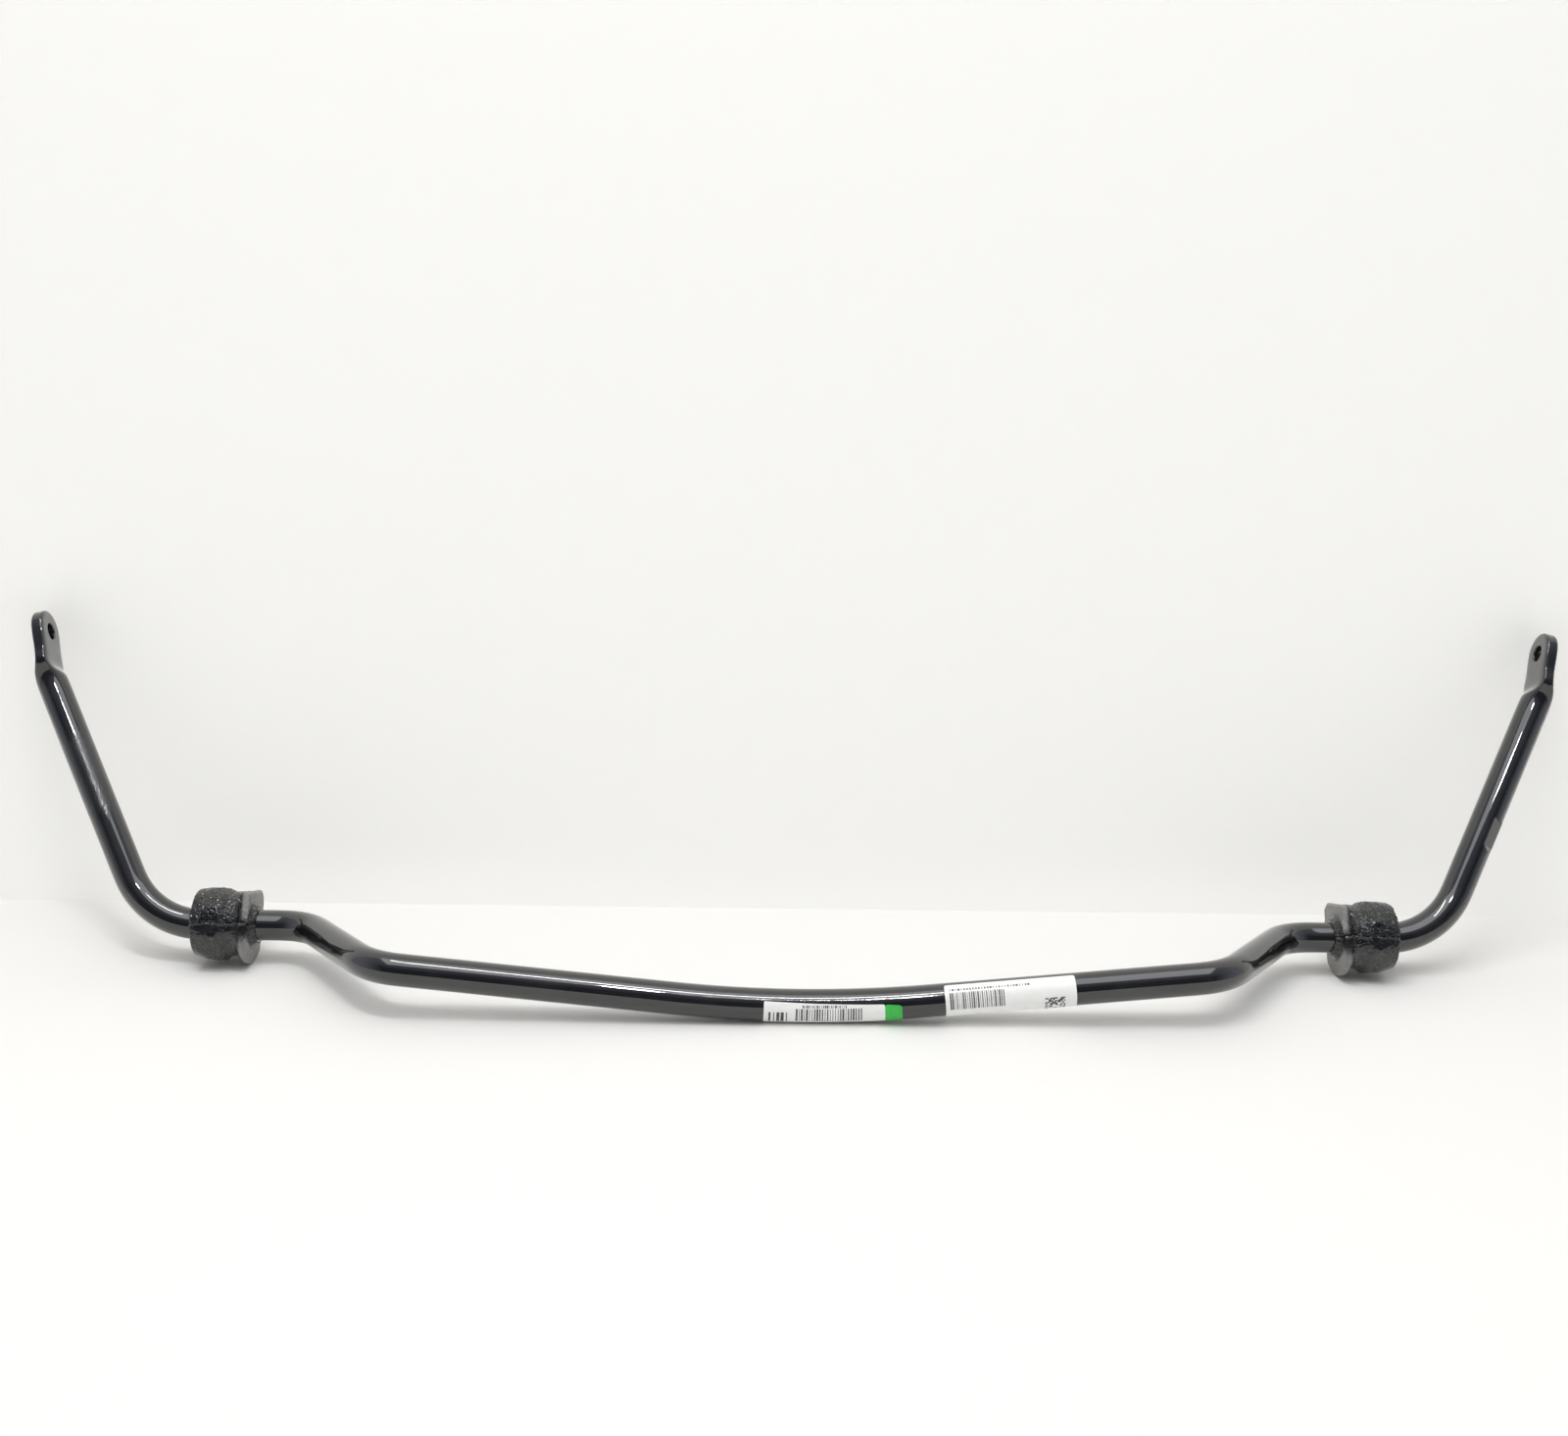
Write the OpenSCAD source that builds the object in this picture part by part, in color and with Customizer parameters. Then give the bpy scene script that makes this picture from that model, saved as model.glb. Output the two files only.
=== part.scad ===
// Front anti-roll bar of a car: one forged bar with an eye at the end of each arm,
// and a split rubber bush bonded to each of its two journals.
// +X runs along the bar, +Y from its middle towards the arms, +Z up as it stands on a bench.
// The origin is under the middle of the bar's box, at bench height.

/* [Bar] */
// Diameter of the round bar
bar_d = 25; // [22:0.5:27]
// Radius of the gentle bend across the middle, to the centre line
middle_r = 1000; // [850:10:1400]

/* [Centre section] */
// Distance from the middle to the corner where a leg meets its step
leg_x = 325; // [315:1:330]
// Height of that corner's centre line above the bench
leg_z = 40; // [34:1:45]
// Bend radius of the two corners of a step
step_r = 42; // [36:1:44]

/* [Journals] */
// Distance from the middle to the inner corner of a journal
journal_in_x = 400; // [395:1:408]
// Distance from the middle to the outer corner, where the arm bends up
journal_out_x = 528; // [524:1:540]
// Distance of the journals behind the middle of the bar
journal_y = 100; // [94:1:108]

/* [Arms] */
// Bend radius where the arm leaves the journal
arm_r = 68; // [60:1:70]
// Distance from the middle to the middle of an eye plate
eye_x = 632.5; // [625:0.5:640]
// Distance of the eyes behind the middle of the bar
eye_y = 202; // [190:1:215]
// Height of the eyes above the bench
eye_z = 250; // [235:1:265]

/* [Eyes] */
// Width of the forged eye plate
eye_w = 36; // [32:0.5:38]
// Thickness of the forged eye plate
eye_t = 10; // [8:0.5:12]
// Diameter of the hole for the drop link's stud
hole_d = 13.5; // [12:0.1:15]
// Distance from the hole down to where the plate meets the arm's axis
eye_foot = 24; // [22:0.5:30]
// Length of bar that is forged from round to flat below that point
forging_l = 30; // [24:1:40]
// Distance outboard of the plate's middle at which the arm's axis meets it
arm_offset = 4; // [0:0.5:5]
// Angle by which an eye plate leans outwards from upright
eye_splay = 12; // [0:1:15]

/* [Bushes] */
// Distance from the middle of the bar to the middle of a bush
bush_x = 465; // [460:1:470]
// Radius over a bush's flange, which stands on the bench
bush_r = 31.5; // [30.5:0.5:33]
// Distance across the flats of the eight-sided lobe
lobe_flats = 58; // [54:0.5:60]
// Radius of the groove floor where the saddle bracket grips
groove_r = 27; // [25:0.5:28]
// Tilt of the seam between the two halves, up towards the front
seam_tilt = 26; // [0:1:40]

/* [Arm flat] */
// Distance up the right arm from its lower corner to the lower end of the flat
flat_from = 82; // [75:1:100]
// Length of the flat along the arm
flat_l = 29; // [20:1:35]
// Depth of the flat below the round surface
flat_depth = 1.7; // [1:0.1:2.5]
// Angle by which the flat is turned from the front towards the outboard side
flat_turn = 35; // [0:1:50]

/* [Labels] */
// Thickness of the labels
label_t = 0.3; // [0.2:0.05:0.4]
// Where the part label starts along the bar
part_label_x = -28; // [-32:1:-25]
// Length of the part label's white stretch
part_label_l = 92; // [80:1:95]
// Length of the colour tab at its end
tab_l = 13; // [8:1:16]
// Where the shipping label starts along the bar
ship_label_x = 110; // [108:1:125]
// Length of the shipping label
ship_label_l = 99; // [80:1:105]

/* [Hidden] */
$fn = 96;
blend_fn = 32;
bar_r = bar_d / 2;
journal_z = bush_r;
big = 200;

// The straight lengths are a hair thinner than the bends, and run a little way into them.
straight_r = bar_r - 0.05;
lap = 1;
// Radial gap between a journal and its bush.
bush_gap = 0.05;

// Centre-line corners of the right half. The middle arc touches the bench, and each leg is
// tangent to it.
arc_top = bar_r + middle_r;
leg_far = norm([leg_x, arc_top - leg_z]);
leg_slope = atan(leg_x / (arc_top - leg_z)) - acos(middle_r / leg_far);
arc_end = [middle_r * sin(leg_slope), 0, arc_top - middle_r * cos(leg_slope)];
leg_corner = [leg_x, 0, leg_z];
journal_in = [journal_in_x, journal_y, journal_z];
journal_out = [journal_out_x, journal_y, journal_z];
eye = [eye_x, eye_y, eye_z];
eye_lean = atan((eye_y - journal_y) / (eye_z - journal_z));
eye_rise = [0, sin(eye_lean), cos(eye_lean)];
eye_up = cos(eye_splay) * eye_rise + [sin(eye_splay), 0, 0];
eye_out = [cos(eye_splay), 0, 0] - sin(eye_splay) * eye_rise;
arm_top = eye - eye_foot * eye_up + arm_offset * eye_out;
arm_dir = unit(arm_top - journal_out);
arm_end = arm_top - forging_l * arm_dir;

// The part's own frame: the box's middle in Y lies on the origin.
eye_back = eye_y + eye_w / 2 * sqrt(1 - pow(eye_out[1], 2)) + eye_t / 2 * abs(eye_out[1]);
box_mid_y = (eye_back - bar_r - label_t) / 2;

// The forged plate starts just below the hole, and the round bar is blended into it.
plate_foot = 20;
slab = 2;
blend_lap = 0.5;
blend_r = straight_r - 0.2;
// The blend is a hair narrower than the plate and runs a little way into it.
slab_inset = 0.1;

// Profile of a bush along its own axis, from the inboard end outwards.
lip_r = bar_r + 1.2;
lip_root_r = bar_r + 4;
lip_l = 5;
inboard_face = -21.5;
outboard_face = 21.5;
rim_in = -19.5;
rim_out = -17.5;
groove_in = -12;
groove_out = -4;
lobe_in = 2;
lobe_out = 8;
edge_r = bush_r - 2.5;
end_r = bush_r - 3;
// The bore flares at the outboard end, where the bar starts to bend up into the arm.
flare_from = 15;
flare_to = 28;
flare_small_r = bar_r - 0.2;
flare_big_r = bar_r + 0.6;

// Edges of the labels around the bar, in degrees up from the front.
part_label_low = -62;
part_label_high = 34;
tab_low = -66;
tab_high = 18;
ship_label_low = -72;
ship_label_high = 80;
ship_flap = 3;

function unit(v) = v / norm(v);
function bend_angle(a, b, c) = acos(unit(b - a) * unit(c - b));
function setback(a, b, c, r) = r * tan(bend_angle(a, b, c) / 2);
function across(v) = unit(cross(v, abs(v[2]) < 0.9 ? [0, 0, 1] : [1, 0, 0]));
function before(a, b, c, r) = b - setback(a, b, c, r) * unit(b - a);
function after(a, b, c, r) = b + setback(a, b, c, r) * unit(c - b);

// Places its children with their axes along x, y and z and their origin at o.
module at_frame(o, x, y, z) {
    multmatrix([
        [x[0], y[0], z[0], o[0]],
        [x[1], y[1], z[1], o[1]],
        [x[2], y[2], z[2], o[2]]
    ]) children();
}

// Places its children at o with their z axis along dir.
module along(o, dir) {
    u = across(dir);
    at_frame(o, u, cross(dir, u), dir) children();
}

// A straight length of bar from a to b, which laps into the bends at both ends.
module rod(a, b) {
    dir = unit(b - a);
    along(a - lap * dir, dir) cylinder(r = straight_r, h = norm(b - a) + 2 * lap);
}

// A bend of radius r about corner b of the centre line a, b, c.
module elbow(a, b, c, r) {
    travel = unit(b - a);
    axis = unit(cross(travel, unit(c - b)));
    inward = cross(axis, travel);
    centre = before(a, b, c, r) + r * inward;
    at_frame(centre, -inward, travel, axis)
        rotate_extrude(angle = bend_angle(a, b, c))
            translate([r, 0]) circle(d = bar_d);
}

// The middle arc's own frame: x points down from the arc's centre, y along the bar.
module in_middle_arc() {
    at_frame([0, 0, arc_top], [0, 0, -1], [1, 0, 0], [0, -1, 0]) children();
}

module middle_arc() {
    in_middle_arc()
        rotate([0, 0, -leg_slope])
            rotate_extrude(angle = 2 * leg_slope)
                translate([middle_r, 0]) circle(d = bar_d);
}

module arm_and_leg() {
    leg_start = before(arc_end, leg_corner, journal_in, step_r);
    step_start = after(arc_end, leg_corner, journal_in, step_r);
    step_end = before(leg_corner, journal_in, journal_out, step_r);
    journal_start = after(leg_corner, journal_in, journal_out, step_r);
    journal_end = before(journal_in, journal_out, arm_top, arm_r);
    arm_start = after(journal_in, journal_out, arm_top, arm_r);
    rod(arc_end, leg_start);
    elbow(arc_end, leg_corner, journal_in, step_r);
    rod(step_start, step_end);
    elbow(leg_corner, journal_in, journal_out, step_r);
    rod(journal_start, journal_end);
    elbow(journal_in, journal_out, arm_top, arm_r);
    rod(arm_start, arm_end - lap * arm_dir);
}

// Places its children at the eye's centre, with z up the plate and x through the hole.
module at_eye() {
    at_frame(eye, eye_out, cross(eye_up, eye_out), eye_up) children();
}

module eye_plate() {
    at_eye() {
        rotate([0, 90, 0]) cylinder(d = eye_w, h = eye_t, center = true);
        translate([-eye_t / 2, -eye_w / 2, -plate_foot]) cube([eye_t, eye_w, plate_foot]);
    }
    hull() {
        along(arm_end - blend_lap * arm_dir, arm_dir)
            cylinder(r = blend_r, h = blend_lap / 2, $fn = blend_fn);
        at_eye()
            translate([slab_inset - eye_t / 2, slab_inset - eye_w / 2, blend_lap - plate_foot - slab])
                cube([eye_t - 2 * slab_inset, eye_w - 2 * slab_inset, slab]);
    }
}

module half_bar() {
    difference() {
        union() {
            arm_and_leg();
            eye_plate();
        }
        at_eye() rotate([0, 90, 0]) cylinder(d = hole_d, h = 2 * eye_t, center = true);
    }
}

// A pressed flat on the front of the arm, turned outboard, with a ramp at its lower end.
module flat_cutter() {
    front = unit(cross([1, 0, 0], arm_dir));
    facing = cos(flat_turn) * front + sin(flat_turn) * cross(arm_dir, front);
    side = cross(arm_dir, facing);
    floor_r = bar_r - flat_depth;
    ramp = 6;
    at_frame(journal_out + flat_from * arm_dir, arm_dir, facing, side)
        linear_extrude(height = bar_d, center = true)
            polygon([[0, bar_r], [ramp, floor_r], [flat_l, floor_r], [flat_l, bar_d], [0, bar_d]]);
}

module in_part_frame() {
    translate([0, -box_mid_y, 0]) children();
}

module stabiliser_bar() {
    color("#17181a")
        in_part_frame() {
            middle_arc();
            mirror([1, 0, 0]) half_bar();
            difference() {
                half_bar();
                flat_cutter();
            }
        }
}

// Turns a profile of [axial, radius] points about the bush's own axis, outboard along +x.
module turned(profile) {
    rotate([0, 90, 0])
        rotate_extrude()
            polygon([for (p = profile) [p[1], p[0]]]);
}

module bush_body() {
    difference() {
        union() {
            turned([
                [inboard_face - lip_l, 0], [inboard_face - lip_l, lip_r],
                [inboard_face, lip_root_r], [inboard_face, edge_r],
                [rim_in, bush_r], [rim_out, bush_r], [groove_in, groove_r],
                [groove_out, groove_r], [groove_out, 0]
            ]);
            intersection() {
                turned([
                    [groove_out, 0], [groove_out, groove_r], [lobe_in, bush_r],
                    [lobe_out, bush_r], [outboard_face, end_r],
                    [outboard_face, lip_root_r], [outboard_face + lip_l, lip_r],
                    [outboard_face + lip_l, 0]
                ]);
                rotate([90 / 4, 0, 0])
                    rotate([0, 90, 0])
                        cylinder(r = lobe_flats / 2 / cos(180 / 8), h = big, center = true, $fn = 8);
            }
        }
        rotate([0, 90, 0]) cylinder(r = straight_r + bush_gap, h = big, center = true);
        turned([
            [flare_from, 0], [flare_from, flare_small_r], [flare_to, flare_big_r], [flare_to, 0]
        ]);
    }
}

// One half of the bush on the journal at side = -1 or 1; up = 1 for the half above the seam.
module bush_half(side, up) {
    color("#232325")
        in_part_frame()
            translate([side * bush_x, journal_y, journal_z])
                rotate([-seam_tilt, 0, 0])
                    intersection() {
                        scale([side, 1, 1]) bush_body();
                        translate([-big / 2, -big / 2, up > 0 ? 0 : -big])
                            cube([big, big, big]);
                    }
}

module left_bush_upper() {
    bush_half(-1, 1);
}

module left_bush_lower() {
    bush_half(-1, -1);
}

module right_bush_upper() {
    bush_half(1, 1);
}

module right_bush_lower() {
    bush_half(1, -1);
}

// Cross-section of a label wrapped on the bar from angle low to angle high, where x points
// down and y to the front.
module label_section(low, high) {
    function ray(angle) = 2 * bar_d * [-sin(angle), cos(angle)];
    intersection() {
        difference() {
            circle(r = bar_r + label_t);
            circle(r = bar_r);
        }
        polygon([[0, 0], ray(low), ray((low + high) / 2), ray(high)]);
    }
}

// A label wrapped on the middle arc between two places along the bar.
module arc_label(from_x, to_x, low, high) {
    in_part_frame()
        in_middle_arc()
            rotate([0, 0, asin(from_x / middle_r)])
                rotate_extrude(angle = asin(to_x / middle_r) - asin(from_x / middle_r))
                    translate([middle_r, 0]) label_section(low, high);
}

module part_label() {
    color("#f4f4f2")
        arc_label(part_label_x, part_label_x + part_label_l, part_label_low, part_label_high);
}

module colour_tab() {
    color("#3fce4b")
        arc_label(part_label_x + part_label_l, part_label_x + part_label_l + tab_l, tab_low, tab_high);
}

// The larger label wraps the straight leg, and its lower edge stands off as a loose flap.
module shipping_label() {
    leg_dir = unit(leg_corner - arc_end);
    down = cross([0, -1, 0], leg_dir);
    start = arc_end + (ship_label_x - arc_end[0]) / leg_dir[0] * leg_dir;
    color("#f4f4f2")
        in_part_frame()
            at_frame(start, down, [0, -1, 0], -leg_dir)
                mirror([0, 0, 1])
                    linear_extrude(height = ship_label_l) {
                        label_section(ship_label_low, ship_label_high);
                        rotate([0, 0, -ship_label_low - 90])
                            translate([0, bar_r])
                                square([ship_flap, label_t]);
                    }
}

stabiliser_bar();
left_bush_upper();
left_bush_lower();
right_bush_upper();
right_bush_lower();
part_label();
colour_tab();
shipping_label();
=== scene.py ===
"""Looks of a car's front anti-roll bar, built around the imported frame.

The bar is one forging with an eye at the end of each arm. A split rubber bush is bonded to each
journal, and two labels are stuck on the middle. Every length is in metres, in the row frame:
+X runs along the bar, +Y from its middle towards the arms and +Z up from the bench.
"""

import logging
import math
from collections.abc import Sequence
from dataclasses import dataclass, field, replace
from enum import Enum

import bmesh
import bpy
import numpy as np
from mathutils import Matrix, Vector, noise


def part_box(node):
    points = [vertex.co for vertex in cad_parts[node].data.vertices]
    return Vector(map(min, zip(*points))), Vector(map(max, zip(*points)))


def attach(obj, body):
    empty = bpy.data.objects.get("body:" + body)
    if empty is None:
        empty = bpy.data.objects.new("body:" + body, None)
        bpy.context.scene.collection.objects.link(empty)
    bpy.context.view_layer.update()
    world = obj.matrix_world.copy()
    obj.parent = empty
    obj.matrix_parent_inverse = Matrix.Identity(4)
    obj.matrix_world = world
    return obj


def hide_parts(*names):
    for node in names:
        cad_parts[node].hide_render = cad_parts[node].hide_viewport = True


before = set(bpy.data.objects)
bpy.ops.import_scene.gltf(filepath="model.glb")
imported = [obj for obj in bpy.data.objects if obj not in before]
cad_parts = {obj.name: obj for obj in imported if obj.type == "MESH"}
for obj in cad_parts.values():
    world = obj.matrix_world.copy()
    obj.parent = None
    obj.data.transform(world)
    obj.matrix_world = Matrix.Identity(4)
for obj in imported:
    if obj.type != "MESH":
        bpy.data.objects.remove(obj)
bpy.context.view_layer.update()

LOG = logging.getLogger("anti_roll_bar")
MM = 0.001
# A closed cage of 16 sides settles on a circle this much smaller once it is subdivided.
CAGE_SIDES = 16
CAGE_SHRINK = (4 + 2 * math.cos(math.tau / CAGE_SIDES)) / 6
# Bend radius, in metres, that stands for a straight length.
STRAIGHT_BEND = 1000.0


class Side(Enum):
    """Which end of the bar a piece is on."""

    LEFT = -1
    RIGHT = 1

    @property
    def word(self) -> str:
        """The side's name as the nodes and bodies spell it."""
        return self.name.lower()


class Half(Enum):
    """Which half of a split bush a piece is."""

    LOWER = -1
    UPPER = 1

    @property
    def word(self) -> str:
        """The half's name as the nodes spell it."""
        return self.name.lower()


def smoothstep(low: float, high: float, value: np.ndarray | float) -> np.ndarray | float:
    """Ramps smoothly from 0 at low to 1 at high.

    Args:
        low: Where the ramp starts.
        high: Where the ramp ends; it may be the smaller one.
        value: One number or an array.

    Returns:
        The ramp's height at value.
    """
    share = np.clip((value - low) / (high - low), 0.0, 1.0)
    return share * share * (3 - 2 * share)


def soft_min(first: np.ndarray, second: np.ndarray | float, blend: float) -> np.ndarray:
    """The smaller of two, with the corner between them rounded over about blend."""
    near = np.clip((blend - np.abs(first - second)) / blend, 0, 1)
    return np.minimum(first, second) - near * near * blend / 4


class Wiring:
    """Adds and links the nodes of one tree."""

    def __init__(self, tree: bpy.types.NodeTree) -> None:
        """Keeps the tree that the nodes go into."""
        self.tree = tree

    def add(self, kind: str, inputs: dict | None = None, **settings: object) -> bpy.types.Node:
        """Adds a node.

        Args:
            kind: The node's type.
            inputs: Socket names or indices, with the value or the socket that feeds each.
            settings: The node's own properties.

        Returns:
            The new node.
        """
        node = self.tree.nodes.new(kind)
        for name, value in settings.items():
            setattr(node, name, value)
        for key, value in (inputs or {}).items():
            self.feed(node.inputs[key], value)
        return node

    def feed(self, socket: bpy.types.NodeSocket, value: object) -> None:
        """Links a socket to another one, or sets its value."""
        if isinstance(value, bpy.types.NodeSocket):
            self.tree.links.new(value, socket)
        else:
            socket.default_value = value

    def math(self, operation: str, *values: object) -> bpy.types.NodeSocket:
        """Adds a Math node.

        Args:
            operation: The node's operation.
            values: Its inputs, as numbers or sockets.

        Returns:
            The node's output socket.
        """
        kind = "ShaderNodeMath"
        return self.add(kind, dict(enumerate(values)), operation=operation).outputs[0]


# ---------------------------------------------------------------------------------------------
# Finishes


@dataclass(frozen=True)
class Finish:
    """A surface finish that makes one material."""

    name: str

    def material(self) -> bpy.types.Material:
        """Makes the material, or gives the one made before."""
        found = bpy.data.materials.get(self.name)
        if found:
            return found
        made = bpy.data.materials.new(self.name)
        made.use_nodes = True
        wiring = Wiring(made.node_tree)
        self.wire(wiring, made.node_tree.nodes["Principled BSDF"])
        return made

    def wire(self, wiring: Wiring, shader: bpy.types.Node) -> None:
        """Feeds the shader; each finish has its own."""
        raise NotImplementedError

    @staticmethod
    def grain(wiring: Wiring, size: float, detail: float = 2.0, **more: float) -> bpy.types.NodeSocket:
        """Adds a noise pattern on Object coordinates.

        Args:
            wiring: The material's wiring.
            size: Width of one patch of the pattern, in metres.
            detail: Octaves of finer pattern.
            more: Other socket values of the noise.

        Returns:
            The pattern, from 0 to 1.
        """
        place = wiring.add("ShaderNodeTexCoord").outputs["Object"]
        inputs = {"Vector": place, "Scale": 1 / size, "Detail": detail, **more}
        return wiring.add("ShaderNodeTexNoise", inputs).outputs["Fac"]

    @staticmethod
    def spread(wiring: Wiring, value: bpy.types.NodeSocket, low: float, high: float,
               start: float = 0.3, end: float = 0.7) -> bpy.types.NodeSocket:
        """Maps a pattern between start and end to the range from low to high."""
        inputs = {"Value": value, "From Min": start, "From Max": end, "To Min": low, "To Max": high}
        return wiring.add("ShaderNodeMapRange", inputs).outputs["Result"]

    @staticmethod
    def blend(wiring: Wiring, share: object, first: object, second: object) -> bpy.types.NodeSocket:
        """Mixes two colours by share."""
        node = wiring.add("ShaderNodeMix", data_type="RGBA")
        wiring.feed(node.inputs[0], share)
        wiring.feed(node.inputs[6], first)
        wiring.feed(node.inputs[7], second)
        return node.outputs[2]


@dataclass(frozen=True)
class PowderCoat(Finish):
    """Gloss black stove coating with a faint orange peel, as baked on forged steel."""

    colour: tuple[float, ...] = (0.0035, 0.0035, 0.0042, 1)
    dusty: tuple[float, ...] = (0.012, 0.011, 0.0105, 1)
    roughness: tuple[float, float] = (0.035, 0.07)
    sprayed_roughness: float = 0.30
    peel: float = 2.4 * MM
    peel_height: float = 0.006 * MM
    wave: float = 14 * MM
    wave_height: float = 0.03 * MM
    spray: float = 1.1 * MM
    spray_height: float = 0.22 * MM
    mottle: float = 22 * MM
    sheen: float = 9 * MM
    lacquer_roughness: float = 0.02

    def wire(self, wiring: Wiring, shader: bpy.types.Node) -> None:
        """Feeds a mottled black, an uneven gloss and three sizes of relief."""
        mottle = self.spread(wiring, self.grain(wiring, self.mottle, 4.0), 0, 1, 0.45, 0.75)
        wiring.feed(shader.inputs["Base Color"], self.blend(wiring, mottle, self.colour, self.dusty))
        sprayed = wiring.add("ShaderNodeAttribute", attribute_name="sprayed").outputs["Fac"]
        even = self.spread(wiring, self.grain(wiring, self.sheen, 3.0), *self.roughness)
        rough = wiring.add("ShaderNodeMix", data_type="FLOAT")
        for index, value in ((0, sprayed), (2, even), (3, self.sprayed_roughness)):
            wiring.feed(rough.inputs[index], value)
        wiring.feed(shader.inputs["Roughness"], rough.outputs[0])
        shader.inputs["Specular IOR Level"].default_value = 0.5
        shader.inputs["Coat Weight"].default_value = 1.0
        shader.inputs["Coat Roughness"].default_value = self.lacquer_roughness
        wave = wiring.math("MULTIPLY", self.grain(wiring, self.wave, 1.0), self.wave_height)
        peel = wiring.math("MULTIPLY", self.grain(wiring, self.peel, 2.0), self.peel_height)
        spray = wiring.math("MULTIPLY", self.grain(wiring, self.spray, 1.0), self.spray_height)
        patch = wiring.math("MULTIPLY", spray, sprayed)
        relief = wiring.math("ADD", wiring.math("ADD", wave, peel), patch)
        bump = {"Height": relief, "Distance": 1.0, "Strength": 1.0}
        normal = wiring.add("ShaderNodeBump", bump).outputs["Normal"]
        wiring.feed(shader.inputs["Normal"], normal)
        wiring.feed(shader.inputs["Coat Normal"], normal)


@dataclass(frozen=True)
class SprayedRubber(Finish):
    """Moulded rubber under a ragged coat of gloss paint, pale and dull where it is bare; the pale colour
    also stands for a painted reflection.
    """

    painted: tuple[float, ...] = (0.004, 0.004, 0.0045, 1)
    # Pale colour of bare rubber, also laid on the top facets as a painted reflection of the bright
    # ceiling.
    bare_and_sheen: tuple[float, ...] = (0.30, 0.295, 0.285, 1)
    gloss: float = 0.08
    dull: float = 0.55
    pebble: float = 2.2 * MM
    pebble_height: float = 0.5 * MM
    tear: float = 3.2 * MM
    streak: float = 1.4 * MM
    specular: float = 0.3
    lacquer: float = 0.6
    lacquer_roughness: float = 0.03

    def wire(self, wiring: Wiring, shader: bpy.types.Node) -> None:
        """Feeds the pale and the paint colours by the piece's pale share (bare rubber and a painted
        reflection), and a pebbled relief.
        """
        bare_and_sheen = wiring.add("ShaderNodeAttribute", attribute_name="bare_and_sheen").outputs["Fac"]
        ragged = self.spread(wiring, self.grain(wiring, self.tear, 4.0), -0.3, 0.3)
        edge = wiring.math("MULTIPLY", bare_and_sheen, wiring.math("SUBTRACT", 1.0, bare_and_sheen))
        reach = wiring.math("MULTIPLY_ADD", edge, 2.0, 0.08)
        torn = wiring.math("MULTIPLY_ADD", ragged, reach, bare_and_sheen)
        share = wiring.add("ShaderNodeClamp", {"Value": torn}).outputs[0]
        tint = self.blend(wiring, share, self.painted, self.bare_and_sheen)
        streak = self.spread(wiring, self.grain(wiring, self.streak, 3.0), 0.72, 1.12)
        shaded = wiring.add("ShaderNodeVectorMath", {0: tint, 1: (1, 1, 1)}, operation="MULTIPLY")
        wiring.feed(shaded.inputs[1], streak)
        wiring.feed(shader.inputs["Base Color"], shaded.outputs[0])
        wiring.feed(shader.inputs["Roughness"], self.spread(wiring, share, self.gloss, self.dull, 0, 1))
        pebble = wiring.math("MULTIPLY", self.grain(wiring, self.pebble, 0.0), self.pebble_height)
        painted = wiring.math("SUBTRACT", 1.1, share)
        bump = {"Height": wiring.math("MULTIPLY", pebble, painted), "Distance": 1.0, "Strength": 1.0}
        normal = wiring.add("ShaderNodeBump", bump).outputs["Normal"]
        wiring.feed(shader.inputs["Normal"], normal)
        wiring.feed(shader.inputs["Coat Normal"], normal)
        wiring.feed(shader.inputs["Coat Weight"], self.spread(wiring, share, self.lacquer, 0.0, 0, 1))
        shader.inputs["Specular IOR Level"].default_value = self.specular
        shader.inputs["Coat Roughness"].default_value = self.lacquer_roughness


@dataclass(frozen=True)
class LabelStock(Finish):
    """Coated paper or film, with faint fibres and a slightly uneven gloss."""

    colour: tuple[float, ...] = (0.93, 0.93, 0.92, 1)
    shade: tuple[float, ...] = (0.88, 0.88, 0.865, 1)
    roughness: tuple[float, float] = (0.38, 0.5)
    fibre: float = 0.7 * MM
    fibre_height: float = 0.006 * MM
    cloud: float = 6 * MM
    sheen: float = 2 * MM

    def wire(self, wiring: Wiring, shader: bpy.types.Node) -> None:
        """Feeds two close shades of the stock and a fine fibre relief."""
        cloudy = self.spread(wiring, self.grain(wiring, self.cloud, 4.0), 0, 1)
        wiring.feed(shader.inputs["Base Color"], self.blend(wiring, cloudy, self.colour, self.shade))
        uneven = self.spread(wiring, self.grain(wiring, self.sheen, 3.0), *self.roughness)
        wiring.feed(shader.inputs["Roughness"], uneven)
        fibre = wiring.math("MULTIPLY", self.grain(wiring, self.fibre, 3.0), self.fibre_height)
        bump = {"Height": fibre, "Distance": 1.0, "Strength": 1.0}
        wiring.feed(shader.inputs["Normal"], wiring.add("ShaderNodeBump", bump).outputs["Normal"])


@dataclass(frozen=True)
class PrintInk(Finish):
    """Thermal print: dark grey where it is well burnt in, and paler where it is worn."""

    dark: tuple[float, ...] = (0.045, 0.045, 0.05, 1)
    worn: tuple[float, ...] = (0.16, 0.16, 0.165, 1)
    wear: float = 1.2 * MM
    sheen: float = 2.5 * MM

    def wire(self, wiring: Wiring, shader: bpy.types.Node) -> None:
        """Feeds a worn and a dark ink in a fine pattern."""
        wear = self.spread(wiring, self.grain(wiring, self.wear, 3.0), 0, 1, 0.4, 0.75)
        wiring.feed(shader.inputs["Base Color"], self.blend(wiring, wear, self.dark, self.worn))
        rough = self.spread(wiring, self.grain(wiring, self.sheen), 0.42, 0.6)
        wiring.feed(shader.inputs["Roughness"], rough)


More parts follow.
